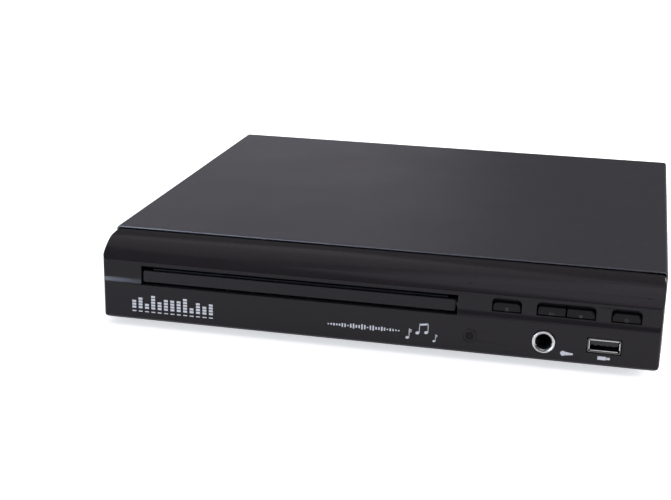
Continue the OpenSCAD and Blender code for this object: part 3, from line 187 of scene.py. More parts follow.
soft_box("box_above", (-0.5, 0.5, 1.4), (0, 0, 0.02), 1.2, 1.0, 2.7, (1, 0.95, 1.04))
soft_box("box_behind", (-0.75, 2.1, 0.36), (-0.03, 0.1, 0.03), 1.0, 0.26, 1.5, (1, 0.97, 1.1))
soft_box("box_front_left", (-0.76, -1.22, 0.2), (-0.11, -0.11, 0.02), 0.34, 0.34, 15, (0.7, 0.8, 1))
soft_box("box_front_above", (0.25, -0.22, 1.2), (0.09, -0.11, 0.03), 0.9, 0.9, 4.2, (1, 0.9, 1.08))
soft_box("box_right", (1.08, 0.12, 0.5), (0.118, -0.11, 0.03), 0.2, 0.9, 15)

# %% Floor
FLOOR_SIZE = 12
PAPER_GLOW = 0.55
mesh = bpy.data.meshes.new("floor")
bm = bmesh.new()
bmesh.ops.create_grid(bm, x_segments=1, y_segments=1, size=FLOOR_SIZE / 2)
bm.to_mesh(mesh)
bm.free()
floor = bpy.data.objects.new("floor", mesh)
bpy.context.scene.collection.objects.link(floor)

floor_paper = bpy.data.materials.new("floor_paper")
floor_paper.use_nodes = True
paper = floor_paper.node_tree
paper_shader = paper.nodes["Principled BSDF"]
paper_shader.inputs["Base Color"].default_value = (0.86, 0.86, 0.86, 1)
paper_shader.inputs["Roughness"].default_value = 0.9
paper_shader.inputs["Specular IOR Level"].default_value = 0
paper_shader.inputs["Emission Color"].default_value = (1, 1, 1, 1)
paper_path = paper.nodes.new("ShaderNodeLightPath")
paper_seen = link_sum(paper, paper_path.outputs["Is Camera Ray"], paper_path.outputs["Is Glossy Ray"])
paper_seen = link_sum(paper, paper_seen, paper_path.outputs["Is Transmission Ray"])
paper.links.new(link_range(paper, paper_seen, 0.0, PAPER_GLOW), paper_shader.inputs["Emission Strength"])
mesh.materials.append(floor_paper)


# %% [markdown]
# ## Effects that several finishes share
#
# A real surface is never one colour. Moulded plastic has a fine spark-eroded grain, sheet metal has
# a crystal pattern, and everything carries a little dust and handling. Each effect is a node group,
# built once, that gives out only values. The shader itself stays in each material.

# %% A helper for node groups
def new_group(name, inputs, outputs):
    """An empty shader group with value inputs {name: default} and value outputs [name]."""
    group = bpy.data.node_groups.new(name, "ShaderNodeTree")
    for label, value in inputs.items():
        socket = group.interface.new_socket(label, in_out="INPUT", socket_type="NodeSocketFloat")
        socket.default_value = value
    for label in outputs:
        group.interface.new_socket(label, in_out="OUTPUT", socket_type="NodeSocketFloat")
    return group, group.nodes.new("NodeGroupInput"), group.nodes.new("NodeGroupOutput")


def object_noise(tree, scale, detail=3.0, roughness=0.55):
    """A noise texture on Object coordinates; scale is a number or a socket."""
    place = tree.nodes.new("ShaderNodeTexCoord")
    noise = tree.nodes.new("ShaderNodeTexNoise")
    noise.inputs["Detail"].default_value = detail
    noise.inputs["Roughness"].default_value = roughness
    tree.links.new(place.outputs["Object"], noise.inputs["Vector"])
    if isinstance(scale, (int, float)):
        noise.inputs["Scale"].default_value = scale
    else:
        tree.links.new(scale, noise.inputs["Scale"])
    return noise.outputs["Fac"]


# %% The grain of a moulded or painted surface
grain, grain_in, grain_out = new_group(
    "surface_grain", {"Grains per metre": 3000.0}, ["Height", "Cloud"])
grain.links.new(object_noise(grain, grain_in.outputs["Grains per metre"]), grain_out.inputs["Height"])
grain.links.new(object_noise(grain, 22.0, detail=2.0), grain_out.inputs["Cloud"])

# %% Dust that has settled on faces that look up
dust, dust_in, dust_out = new_group("settled_dust", {"Amount": 0.2}, ["Mask"])
geometry = dust.nodes.new("ShaderNodeNewGeometry")
split = dust.nodes.new("ShaderNodeSeparateXYZ")
dust.links.new(geometry.outputs["Normal"], split.inputs["Vector"])
upward = link_range(dust, split.outputs["Z"], 0.0, 1.0, 0.5, 1.0)
specks = link_range(dust, object_noise(dust, 900.0, detail=4.0), 0.0, 1.0, 0.55, 0.75)
spread = link_product(dust, upward, specks)
dust.links.new(link_product(dust, spread, dust_in.outputs["Amount"]), dust_out.inputs["Mask"])

# %% Crystals of a zinc coat
spangle, spangle_in, spangle_out = new_group(
    "zinc_spangle", {"Cells per metre": 160.0}, ["Cell", "Height"])
cells = spangle.nodes.new("ShaderNodeTexVoronoi")
cells.feature = "F1"
spangle_place = spangle.nodes.new("ShaderNodeTexCoord")
spangle.links.new(spangle_place.outputs["Object"], cells.inputs["Vector"])
spangle.links.new(spangle_in.outputs["Cells per metre"], cells.inputs["Scale"])
shade = spangle.nodes.new("ShaderNodeRGBToBW")
spangle.links.new(cells.outputs["Color"], shade.inputs["Color"])
spangle.links.new(shade.outputs["Val"], spangle_out.inputs["Cell"])
spangle.links.new(object_noise(spangle, 1400.0), spangle_out.inputs["Height"])
print("shared effects:", [g.name for g in bpy.data.node_groups])


# %% [markdown]
# ## Finishes
#
# Each material starts the same way, so a few helpers come first: one starts a material, one places a
# group in it, one mixes two colours by a mask and one turns a height into a bumped normal.

# %% Helpers for materials
FINISHES = {}


def start_finish(slot, roughness, metallic=0.0, specular=0.5):
    """A new material for a slot, kept in FINISHES, with its constants set on the shader."""
    material = bpy.data.materials.new(slot)
    material.use_nodes = True
    shader = material.node_tree.nodes["Principled BSDF"]
    shader.inputs["Roughness"].default_value = roughness
    shader.inputs["Metallic"].default_value = metallic
    shader.inputs["Specular IOR Level"].default_value = specular
    FINISHES[slot] = material
    return material.node_tree, shader


def place_group(tree, group, **values):
    """Puts a shared effect into a material; value names are written with _ for spaces."""
    node = tree.nodes.new("ShaderNodeGroup")
    node.node_tree = group
    for label, value in values.items():
        node.inputs[label.replace("_", " ")].default_value = value
    return node.outputs


def tint(tree, mask, dark, light):
    """A colour that goes from dark to light as the mask goes from 0 to 1."""
    mix = tree.nodes.new("ShaderNodeMix")
    mix.data_type = "RGBA"
    mix.inputs["A"].default_value = (*dark, 1)
    mix.inputs["B"].default_value = (*light, 1)
    tree.links.new(mask, mix.inputs["Factor"])
    return mix.outputs["Result"]


def lay_over(tree, mask, under, colour):
    """A colour laid over another colour socket by a mask."""
    mix = tree.nodes.new("ShaderNodeMix")
    mix.data_type = "RGBA"
    mix.inputs["B"].default_value = (*colour, 1)
    tree.links.new(mask, mix.inputs["Factor"])
    tree.links.new(under, mix.inputs["A"])
    return mix.outputs["Result"]


def bump(tree, shader, height, depth, strength=1.0):
    """Bumps the shader's normal by a height map; depth is the real relief in metres."""
    node = tree.nodes.new("ShaderNodeBump")
    node.inputs["Strength"].default_value = strength
    node.inputs["Distance"].default_value = depth
    tree.links.new(height, node.inputs["Height"])
    tree.links.new(node.outputs["Normal"], shader.inputs["Normal"])


def scaled_colour(colour, by):
    """A colour made lighter or darker by a factor."""
    return tuple(c * by for c in colour)


# %% [markdown]
# ### Moulded plastics
#
# Front, door, buttons, tray and frame are black plastics that differ in grain and gloss. One function
# makes them: a fine grain for the bump, a broad cloud that shifts the gloss and the colour a little,
# and a trace of dust on the faces that look up.

# %% Plastics
DUST_COLOUR = (0.32, 0.31, 0.29)


def moulded(slot, colour, roughness, grains, relief, specular=0.4, dusty=0.1):
    """A moulded plastic; grains count per metre and relief is in metres."""
    tree, shader = start_finish(slot, roughness, specular=specular)
    skin = place_group(tree, grain, Grains_per_metre=grains)
    settled = place_group(tree, dust, Amount=dusty)
    body = tint(tree, skin["Cloud"], scaled_colour(colour, 0.88), scaled_colour(colour, 1.12))
    tree.links.new(lay_over(tree, settled["Mask"], body, DUST_COLOUR), shader.inputs["Base Color"])
    tree.links.new(link_range(tree, skin["Cloud"], roughness * 0.88, roughness * 1.12, 0.3, 0.7),
                   shader.inputs["Roughness"])
    bump(tree, shader, skin["Height"], relief)


moulded("bezel_black", (0.0092, 0.0078, 0.0086), 0.17, 5200, 0.000003, specular=0.125, dusty=0.02)
moulded("button_black", (0.0064, 0.0056, 0.0056), 0.3, 5200, 0.000004, specular=0.085, dusty=0.02)
moulded("door_black", (0.0118, 0.0106, 0.011), 0.4, 3600, 0.00001, specular=0.1, dusty=0.02)
moulded("tray_black", (0.009, 0.009, 0.0098), 0.5, 2600, 0.000016, specular=0.2, dusty=0.05)
moulded("frame_plastic", (0.014, 0.014, 0.015), 0.55, 1700, 0.00002, dusty=0.3)
moulded("socket_black", (0.008, 0.008, 0.0085), 0.45, 3000, 0.00001, specular=0.3)
moulded("socket_white", (0.72, 0.71, 0.66), 0.42, 3000, 0.00001)
moulded("chip_black", (0.018, 0.018, 0.019), 0.6, 4200, 0.000012)
moulded("core_yellow", (0.62, 0.45, 0.06), 0.5, 900, 0.00003)
moulded("can_blue", (0.012, 0.018, 0.07), 0.32, 1200, 0.000008)
moulded("rubber", (0.016, 0.016, 0.016), 0.8, 1500, 0.00004, specular=0.25, dusty=0.35)

# %% [markdown]
# ### Natural acetal
#
# The gears and the slider are milky acetal. A little light goes into it, so it gets a small amount
# of subsurface scattering, set on the shader, and a waxy gloss.

# %% Acetal
tree, shader = start_finish("gear_white", 0.38)
shader.inputs["Subsurface Weight"].default_value = 0.15
shader.inputs["Subsurface Radius"].default_value = (0.001, 0.0009, 0.0007)
skin = place_group(tree, grain, Grains_per_metre=1800)
tree.links.new(tint(tree, skin["Cloud"], (0.66, 0.65, 0.6), (0.8, 0.79, 0.74)), shader.inputs["Base Color"])
bump(tree, shader, skin["Height"], 0.000012)

# %% [markdown]
# ### Paint and plating
#
# The cover is powder-painted: the paint lies in tiny soft hills, which break up every reflection. The
# chassis and the back are zinc-coated sheet with faint crystals. The other metals are nickel, drawn
# steel, aluminium, black-oxide steel and a dull plate, and differ in colour and gloss. The dark dull
# plate is also used as painted shade on the USB socket's shell and contacts, which sit in shade.

# %% Powder paint of the cover
PAINT = (0.0186, 0.0178, 0.0222)
tree, shader = start_finish("cover_black", 0.44, specular=0.3)
skin = place_group(tree, grain, Grains_per_metre=1500)
settled = place_group(tree, dust, Amount=0.06)
body = tint(tree, skin["Cloud"], scaled_colour(PAINT, 0.94), scaled_colour(PAINT, 1.06))
tree.links.new(lay_over(tree, settled["Mask"], body, DUST_COLOUR), shader.inputs["Base Color"])
tree.links.new(link_range(tree, skin["Cloud"], 0.42, 0.46, 0.3, 0.7), shader.inputs["Roughness"])
bump(tree, shader, skin["Height"], 0.000014)

# %% Zinc-coated sheet
tree, shader = start_finish("sheet_zinc", 0.4, metallic=1.0)
crystal = place_group(tree, spangle, Cells_per_metre=150)
zinc_shades = tint(tree, crystal["Cell"], (0.34, 0.35, 0.36), (0.46, 0.47, 0.48))
tree.links.new(zinc_shades, shader.inputs["Base Color"])
tree.links.new(link_range(tree, crystal["Cell"], 0.32, 0.5), shader.inputs["Roughness"])
bump(tree, shader, crystal["Height"], 0.000008)


# %% Bright and dark metals
def metal(slot, dark, light, roughness, grains, relief):
    """A bare or plated metal whose colour and gloss follow its fine grain."""
    tree, shader = start_finish(slot, roughness, metallic=1.0)
    skin = place_group(tree, grain, Grains_per_metre=grains)
    tree.links.new(tint(tree, skin["Height"], dark, light), shader.inputs["Base Color"])
    tree.links.new(link_range(tree, skin["Height"], roughness - 0.06, roughness + 0.06, 0.3, 0.7),
                   shader.inputs["Roughness"])
    bump(tree, shader, skin["Height"], relief)


metal("chrome", (0.36, 0.355, 0.35), (0.46, 0.455, 0.45), 0.27, 2600, 0.000003)
metal("steel", (0.48, 0.49, 0.5), (0.66, 0.66, 0.67), 0.3, 2200, 0.000008)
metal("fin_aluminium", (0.6, 0.61, 0.62), (0.78, 0.79, 0.8), 0.36, 1600, 0.00001)
metal("screw_black", (0.02, 0.02, 0.022), (0.06, 0.06, 0.065), 0.34, 2400, 0.000008)
# The dull plate's dark colour doubles as painted shade on the USB socket's shell and contacts.
metal("dull_plate", (0.07, 0.068, 0.066), (0.12, 0.118, 0.115), 0.4, 2200, 0.000006)

# %% [markdown]
# ### Glass, boards and wires
#
# The round window is near-black plastic that lets infra-red through. The pickup's lens is clear.
# A circuit board shows its copper as slightly raised lighter lines under the green lacquer, which a
# brick texture imitates well enough, and the ribbon shows its wires as stripes.

# %% Window and lens
tree, shader = start_finish("lens_dark", 0.1, specular=0.1)
skin = place_group(tree, grain, Grains_per_metre=900)
window_shades = tint(tree, skin["Cloud"], (0.0015, 0.001, 0.0012), (0.004, 0.002, 0.0026))
tree.links.new(window_shades, shader.inputs["Base Color"])

tree, shader = start_finish("lens_glass", 0.04)
shader.inputs["Transmission Weight"].default_value = 0.8
skin = place_group(tree, grain, Grains_per_metre=900)
tree.links.new(tint(tree, skin["Cloud"], (0.35, 0.5, 0.75), (0.5, 0.62, 0.85)), shader.inputs["Base Color"])


# %% Circuit boards
def circuit_board(slot, lacquer, copper):
    """A lacquered board with raised copper lines under the lacquer."""
    tree, shader = start_finish(slot, 0.35)
    place = tree.nodes.new("ShaderNodeTexCoord")
    lines = tree.nodes.new("ShaderNodeTexBrick")
    lines.inputs["Scale"].default_value = 120
    lines.inputs["Mortar Size"].default_value = 0.05
    lines.inputs["Color1"].default_value = (0, 0, 0, 1)
    lines.inputs["Color2"].default_value = (0.25, 0.25, 0.25, 1)
    lines.inputs["Mortar"].default_value = (1, 1, 1, 1)
    tree.links.new(place.outputs["Object"], lines.inputs["Vector"])
    grey = tree.nodes.new("ShaderNodeRGBToBW")
    tree.links.new(lines.outputs["Color"], grey.inputs["Color"])
    tree.links.new(tint(tree, grey.outputs["Val"], lacquer, copper), shader.inputs["Base Color"])
    bump(tree, shader, grey.outputs["Val"], 0.00002)


circuit_board("board_green", (0.01, 0.09, 0.035), (0.03, 0.17, 0.06))
circuit_board("board_tan", (0.36, 0.22, 0.08), (0.46, 0.3, 0.12))


# %% Wires
def striped(slot, colour, gap_colour, pitch, axis):
    """Insulated wires side by side; the stripes count along one axis."""
    tree, shader = start_finish(slot, 0.42)
    place = tree.nodes.new("ShaderNodeTexCoord")
    wave = tree.nodes.new("ShaderNodeTexWave")
    wave.bands_direction = axis
    wave.inputs["Scale"].default_value = 1 / (pitch * 3.2)
    tree.links.new(place.outputs["Object"], wave.inputs["Vector"])
    tree.links.new(tint(tree, wave.outputs["Fac"], gap_colour, colour), shader.inputs["Base Color"])
    bump(tree, shader, wave.outputs["Fac"], 0.0001)


striped("ribbon_grey", (0.62, 0.62, 0.63), (0.34, 0.34, 0.35), 0.001, "X")
striped("wire_red", (0.5, 0.04, 0.03), (0.3, 0.02, 0.015), 0.0012, "X")
print("finishes:", len(FINISHES))

# %% Put each finish on the CAD nodes
for name, node in NODES.items():
    node.data.materials.clear()
    node.data.materials.append(FINISHES[SLOT_OF[name]])


# %% [markdown]
# ## A finer copy of a CAD node
#
# A CAD node arrives as loose triangles with knife edges. Real pieces have small round edges, and it
# is those that catch the light. So a visible node gets a copy: its doubled corners are merged, flat
# neighbours are dissolved into whole faces, which are cut into fresh triangles because a large face
# with a slot in it can't be filled reliably, and a Bevel modifier rounds what is sharp. The node
# itself stays as it is and is hidden by the copy. A Weighted Normal modifier lets the large flat
# faces keep their own shading where they run into the gentle slope under the band.

# %% Copy, merge and round
MERGE_WITHIN = 0.003 * MM
FLAT_WITHIN = math.radians(0.6)


def finer_copy(node, name, edge=0.2 * MM, segments=2, sharp=32):
    """A merged copy of a CAD node with rounded edges that replaces the node."""
    bm = bmesh.new()
    bm.from_mesh(NODES[node].data)
    bmesh.ops.remove_doubles(bm, verts=bm.verts, dist=MERGE_WITHIN)
    bmesh.ops.dissolve_limit(bm, angle_limit=FLAT_WITHIN, verts=bm.verts, edges=bm.edges)
    bmesh.ops.triangulate(bm, faces=bm.faces[:], quad_method="BEAUTY", ngon_method="BEAUTY")
    mesh = bpy.data.meshes.new(name)
    bm.to_mesh(mesh)
    bm.free()
    mesh.materials.clear()
    mesh.materials.append(FINISHES[SLOT_OF[node]])
    piece = bpy.data.objects.new(name, mesh)
    bpy.context.scene.collection.objects.link(piece)
    mesh.shade_smooth()
    mesh.set_sharp_from_angle(angle=math.radians(sharp))
    if edge:
        bevel = piece.modifiers.new("round_edges", "BEVEL")
        bevel.width = edge
        bevel.segments = segments
        bevel.limit_method = "ANGLE"
        bevel.angle_limit = math.radians(sharp)
        bevel.use_clamp_overlap = False
    even = piece.modifiers.new("even_normals", "WEIGHTED_NORMAL")
    even.keep_sharp = True
    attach(piece, BODY_OF[node])
    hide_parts(node)
    return piece


cover = finer_copy("top_cover", "cover_sheet", segments=3)
finer_copy("front_bezel", "front_moulding", edge=0.15 * MM)
finer_copy("tray_door", "door_front")
for i in range(1, BUTTON_COUNT + 1):
    finer_copy(f"button_{i}", f"button_cap_{i}")
finer_copy("disc_tray", "tray_dish", edge=0.15 * MM)

# %% [markdown]
# ### The bare cut edge of the cover
#
# The cover is cut from sheet that was painted before it was cut, so the cut edge along the front is
# bare steel and reads as a fine pale line over the visor. The copy's own faces there get a second
# material, which is enough: the edge has no shape of its own.

# %% Bare steel on the front edge
metal("bare_edge", (0.1, 0.098, 0.105), (0.14, 0.138, 0.145), 0.5, 2200, 0.000008)
cover.data.materials.append(FINISHES["bare_edge"])
front_edge = min(v.co.y for v in cover.data.vertices)
at_edge = [f for f in cover.data.polygons if f.center.y < front_edge + 0.01 * MM]
bare = [f for f in at_edge if f.normal.y < -0.9]
for face in bare:
    face.material_index = 1
print("bare faces on the cover's front edge:", len(bare))


# %% [markdown]
# ## The ring of the microphone jack
#
# The jack's bright ring is turned brass with nickel on it: a short tube with a rounded rim and a
# shallow funnel that guides the plug. Turned parts are spun: the half profile is drawn once, as a
# few joined edges, and a full spin makes the body. The bore keeps the CAD size.

# %% Helpers that place and finish a new mesh
def new_piece(name, bm, body, finish, smooth_to=35):
    """Makes a piece from a bmesh, merges doubles, turns its faces outward and lets it ride."""
    bmesh.ops.remove_doubles(bm, verts=bm.verts, dist=0.001 * MM)
    bmesh.ops.recalc_face_normals(bm, faces=bm.faces)
    mesh = bpy.data.meshes.new(name)
    bm.to_mesh(mesh)
    bm.free()
    mesh.materials.append(finish)
    mesh.shade_smooth()
    mesh.set_sharp_from_angle(angle=math.radians(smooth_to))
    piece = bpy.data.objects.new(name, mesh)
    bpy.context.scene.collection.objects.link(piece)
    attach(piece, body)
    return piece


def middle(node):
    """The middle of a node's box."""
    low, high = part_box(node)
    return (low + high) / 2


def turned(bm, centre, profile, steps=64):
    """Spins a closed profile of (radius, depth behind the centre) points about an axis along Y."""
    ends = [bm.verts.new(centre + Vector((r * MM, depth * MM, 0))) for r, depth in profile]
    edges = [bm.edges.new((ends[k], ends[(k + 1) % len(ends)])) for k in range(len(ends))]
    bmesh.ops.spin(
        bm, geom=ends + edges, cent=centre, axis=(0, 1, 0), angle=math.tau,
        steps=steps, use_merge=True, use_duplicate=False,
    )


# %% Ring with a rounded rim and a shallow funnel
jack_low, jack_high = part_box("mic_jack_sleeve")
jack = middle("mic_jack_sleeve")
jack.y = jack_low.y
RING_STANDS_OUT = 0.6 * MM
FACE_Y = jack_low.y + RING_STANDS_OUT
RING_R = (jack_high.x - jack_low.x) / 2 / MM
BORE_R = 3.25
RIM = 0.32
RING_DEPTH = (jack_high.y - jack_low.y) / MM
rim_arc = [(RING_R - RIM + RIM * math.cos(a), RIM - RIM * math.sin(a))
           for a in [math.radians(15 * k) for k in range(0, 7)]]
funnel = [(4.12, 0.03), (3.9, 0.12), (3.45, 0.42), (BORE_R + 0.05, 0.6), (BORE_R, 0.8)]
bm = bmesh.new()
turned(bm, jack, [(RING_R, RING_DEPTH)] + rim_arc + funnel + [(BORE_R, RING_DEPTH)])
ring = new_piece("jack_ring", bm, BODY_OF["mic_jack_sleeve"], FINISHES["chrome"], smooth_to=50)
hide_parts("mic_jack_sleeve")
print("ring across", round(2 * RING_R, 2), "mm, bore", 2 * BORE_R, "mm")

# %% [markdown]
# ## The rim of the round window
#
# The small window is pressed in from behind and its moulded rim stands out a little, so it reads as a
# faint ring about a black dot. The rim is a slim bead, spun like the ring.

# %% A bead about the window
window_low, window_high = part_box("window_lens")
window = middle("window_lens")
window.y = FACE_Y
BEAD_R = (window_high.x - window_low.x) / 2 / MM + 0.05
BEAD_HALF = 0.22
BEAD_RISE = 0.35
BEAD_SEAT = 0.3
bead = [(BEAD_R + BEAD_HALF + BEAD_HALF * math.cos(a), 0.05 - BEAD_RISE * math.sin(a))
        for a in [math.radians(30 * k) for k in range(0, 7)]]
bm = bmesh.new()
turned(bm, window, bead + [(BEAD_R, BEAD_SEAT), (BEAD_R + 2 * BEAD_HALF, BEAD_SEAT)])
new_piece("window_rim", bm, BODY_OF["front_bezel"], FINISHES["bezel_black"],
          smooth_to=60)
print("bead across", round(2 * (BEAD_R + 2 * BEAD_HALF), 2), "mm")

# %% [markdown]
# ## The lips of the USB socket
#
# The socket's shell is folded from thin plated steel, and its mouth has four lips that flare outward,
# one on each side, with a gap at each corner. A lip is a straight edge that is swept through a part
# of a turn and then given its thickness. Light catches the curved lips, while the inside stays dark.

# %% Four flared lips
shell_low, shell_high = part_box("usb_shell")
USB_MID_X = (shell_high.x + shell_low.x) / 2
USB_TOP = shell_high.z
USB_H = 5.7 * MM
USB_MID_Z = USB_TOP - USB_H / 2
LIP_SWEEP = math.radians(78)
LIP_T = 0.28 * MM
LIP_SET_BACK = 0.55 * MM


def lip(bm, out, along, reach, half, radius):
    """One lip: an edge at reach from the socket's middle that curls towards out."""
    mid = Vector((USB_MID_X, shell_low.y + LIP_SET_BACK, USB_MID_Z)) + out * reach
    ends = [bm.verts.new(mid + along * half * side) for side in (-1, 1)]
    edge = bm.edges.new(ends)
    bmesh.ops.spin(
        bm, geom=ends + [edge], cent=mid + out * radius, axis=along, angle=LIP_SWEEP,
        steps=8, use_duplicate=False,
    )


bm = bmesh.new()
UP, ACROSS = Vector((0, 0, 1)), Vector((1, 0, 0))
lip(bm, UP, ACROSS, reach=2.28 * MM, half=5.7 * MM, radius=1.0 * MM)
lip(bm, -UP, -ACROSS, reach=2.4 * MM, half=5.5 * MM, radius=0.5 * MM)
lip(bm, ACROSS, -UP, reach=6.2 * MM, half=1.5 * MM, radius=0.45 * MM)
lip(bm, -ACROSS, UP, reach=6.05 * MM, half=1.9 * MM, radius=1.0 * MM)
bmesh.ops.solidify(bm, geom=bm.faces, thickness=LIP_T)
lips = new_piece("usb_lips", bm, BODY_OF["usb_shell"], FINISHES["chrome"], smooth_to=50)
lip_low = [min(v.co[k] for v in lips.data.vertices) for k in range(3)]
lip_high = [max(v.co[k] for v in lips.data.vertices) for k in range(3)]
print("lips in mm:", [round((hi - lo) / MM, 2) for lo, hi in zip(lip_low, lip_high)])

# %% [markdown]
# ### The shell behind the lips
# Behind its lips the shell is plain sheet, and little light gets there. Its node only changes its finish
# to the dark dull plate, which is painted shade standing for that darkness, so that the lips alone shine.

# %% Painted shade: a dark dull finish for the shell
# The dark finish is painted shade for the inside of the socket's mouth.
NODES["usb_shell"].data.materials.clear()
NODES["usb_shell"].data.materials.append(FINISHES["dull_plate"])
print("the shell's own rim is dull, so that only the lips shine")

# %% [markdown]
# ## Contacts of the USB socket
#
# Four sprung contacts lie under the tongue. Each is a thin strip with a small bend near the mouth.
# They lie in the socket's shade and show as dull grey spots, so they get the shell's dark dull plate as
# painted shade.

# %% Four contacts
bm = bmesh.new()
tongue_low, tongue_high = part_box("usb_tongue")
CONTACT_COUNT = 4
CONTACT_PITCH = 2.3 * MM
CONTACT_HALF = 0.45 * MM
CONTACT_LENGTH = 8 * MM
CONTACT_T = 0.15 * MM
BEND_LENGTH = 9 * MM
BEND_DEPTH = 0.3 * MM
contact_y = tongue_low.y + 5 * MM
contact_z = tongue_high.z - 2.25 * MM
for i in range(CONTACT_COUNT):
    x = USB_MID_X + (i - (CONTACT_COUNT - 1) / 2) * CONTACT_PITCH
    made = bmesh.ops.create_grid(bm, x_segments=1, y_segments=8, size=0.5)
    bmesh.ops.scale(bm, verts=made["verts"], vec=(2 * CONTACT_HALF, CONTACT_LENGTH, 1))
    bmesh.ops.translate(bm, verts=made["verts"], vec=(x, contact_y, contact_z))
    for v in made["verts"]:
        along = (v.co.y - tongue_low.y) / BEND_LENGTH
        v.co.z -= BEND_DEPTH * math.sin(math.pi * min(max(along, 0), 1))
bmesh.ops.solidify(bm, geom=bm.faces, thickness=CONTACT_T)
# The contacts' dark dull plate is painted shade.
new_piece("usb_contacts", bm, BODY_OF["usb_tongue"], FINISHES["dull_plate"])
print("contacts:", CONTACT_COUNT)

# %% [markdown]
# ## Prints on the front
#
# The marks on the front are pad-printed in light grey: sound-level bars, a sound wave, a few music
# notes and two small signs at the sockets. A print is a very thin layer, so each is a flat outline
# that is lifted by two hundredths of a millimetre.

# %% Ink and helpers for flat outlines
def ink(slot, colour, roughness):
    """A printing ink with a slightly uneven cover."""
    tree, shader = start_finish(slot, roughness, specular=0.3)
    skin = place_group(tree, grain, Grains_per_metre=6000)
    tree.links.new(tint(tree, skin["Height"], scaled_colour(colour, 0.9), scaled_colour(colour, 1.1)),
                   shader.inputs["Base Color"])
    bump(tree, shader, skin["Height"], 0.000002)
    return FINISHES[slot]


print_grey = ink("print_grey", (0.42, 0.42, 0.43), 0.5)
INK = 0.02 * MM
ORIGIN = Vector((0, FACE_Y, 4 * MM))


def flat_bar(bm, x, z, w, h, lean=0.0):
    """An upright rectangle on the face, w by h about (x, z) in millimetres; lean slants it."""
    made = bmesh.ops.create_grid(bm, x_segments=1, y_segments=1, size=0.5)
    verts = made["verts"]
    bmesh.ops.scale(bm, verts=verts, vec=(w, h, 1))
    bmesh.ops.rotate(bm, verts=verts, cent=(0, 0, 0), matrix=Matrix.Rotation(math.pi / 2, 3, "X"))
    for v in verts:
        v.co.x += lean * v.co.z
    bmesh.ops.translate(bm, verts=verts, vec=(x, 0, z))
    return verts


def flat_round(bm, x, z, w, h, turn=0.0, segments=20):
    """A filled oval on the face, w by h about (x, z), turned by an angle."""
    made = bmesh.ops.create_circle(bm, cap_ends=True, segments=segments, radius=0.5)
    verts = made["verts"]
    bmesh.ops.scale(bm, verts=verts, vec=(w, h, 1))
    bmesh.ops.rotate(bm, verts=verts, cent=(0, 0, 0),
                     matrix=Matrix.Rotation(math.pi / 2, 3, "X") @ Matrix.Rotation(turn, 3, "Z"))
    bmesh.ops.translate(bm, verts=verts, vec=(x, 0, z))
    return verts


def printed(name, bm, finish=None, body="chassis", lift=INK, base=ORIGIN):
    """Turns flat outlines in millimetres into a thin layer of ink that lies on the face."""
    bmesh.ops.scale(bm, verts=bm.verts, vec=(MM, MM, MM))
    bmesh.ops.translate(bm, verts=bm.verts, vec=base)
    grown = bmesh.ops.extrude_face_region(bm, geom=bm.faces[:])
    outer = [g for g in grown["geom"] if isinstance(g, bmesh.types.BMVert)]
    bmesh.ops.translate(bm, verts=outer, vec=(0, -lift, 0))
    return new_piece(name, bm, body, finish or print_grey)


# %% Sound-level bars
BAR_COUNT = 13
BAR_PITCH = 2.9
BAR_W = 1.75
BARS_LEFT = -104
LOWEST_CELL = 5.2
CELL_PITCH = 1.3
CELL_H = 0.95
MOST_CELLS = 5
UNDERLINE = 3.4
UNDERLINE_H = 0.45
bm = bmesh.new()
for i in range(BAR_COUNT):
    hump = 0.6 + 0.4 * math.sin(math.pi * i / (BAR_COUNT - 1))
    loudness = 0.45 + 0.55 * abs(math.sin(1.35 * i + 0.5)) * hump
    x = BARS_LEFT + i * BAR_PITCH
    for k in range(round(loudness * MOST_CELLS)):
        flat_bar(bm, x, LOWEST_CELL + k * CELL_PITCH, BAR_W, CELL_H)
    flat_bar(bm, x, UNDERLINE, BAR_W, UNDERLINE_H)
bars = printed("print_level_bars", bm)

# %% Sound wave
WAVE_COUNT = 26
WAVE_PITCH = 1.2
WAVE_LEFT = -17.5
WAVE_Z = 6.2
WAVE_W = 0.62
bm = bmesh.new()
for i in range(WAVE_COUNT):
    swell = 0.5 + 1.9 * abs(math.sin(0.9 * i) * math.sin(math.pi * (i + 0.5) / WAVE_COUNT))
    flat_bar(bm, WAVE_LEFT + i * WAVE_PITCH, WAVE_Z, WAVE_W, swell)
wave = printed("print_sound_wave", bm)


# %% Music notes
def quaver(bm, x, z, size, flag=True):
    """One note: an oval head, an upright stem and a slanting flag; (x, z) is the head's middle."""
    flat_round(bm, x, z, 1.45 * size, 1.05 * size, 0.35)
    flat_bar(bm, x + 0.6 * size, z + 1.75 * size, 0.24 * size, 3.4 * size)
    if flag:
        flat_bar(bm, x + 1.1 * size, z + 3.0 * size, 0.8 * size, 0.42 * size, -0.9)
        flat_bar(bm, x + 1.1 * size, z + 2.3 * size, 0.7 * size, 0.34 * size, -0.9)


bm = bmesh.new()
quaver(bm, 16.2, 3.6, 1.15)
quaver(bm, 20.4, 6.0, 1.2, flag=False)
quaver(bm, 24.0, 6.5, 1.2, flag=False)
BEAM_X = 22.92
for v in flat_bar(bm, BEAM_X, 9.9, 3.9, 0.75):
    v.co.z += 0.14 * (v.co.x - BEAM_X)
quaver(bm, 27.4, 3.1, 0.85)
notes = printed("print_notes", bm)

# %% Small signs at the sockets
bm = bmesh.new()
MIC_SIGN = Vector((80, 0, 3.4))
GRIP_X = MIC_SIGN.x + 2.5
flat_round(bm, MIC_SIGN.x, MIC_SIGN.z, 2.1, 2.1)
for v in flat_bar(bm, GRIP_X, MIC_SIGN.z, 3, 1.3):
    taper = 1.15 if v.co.x < GRIP_X else 0.5
    v.co.z = MIC_SIGN.z + (v.co.z - MIC_SIGN.z) * taper
mic_sign = printed("print_microphone", bm)

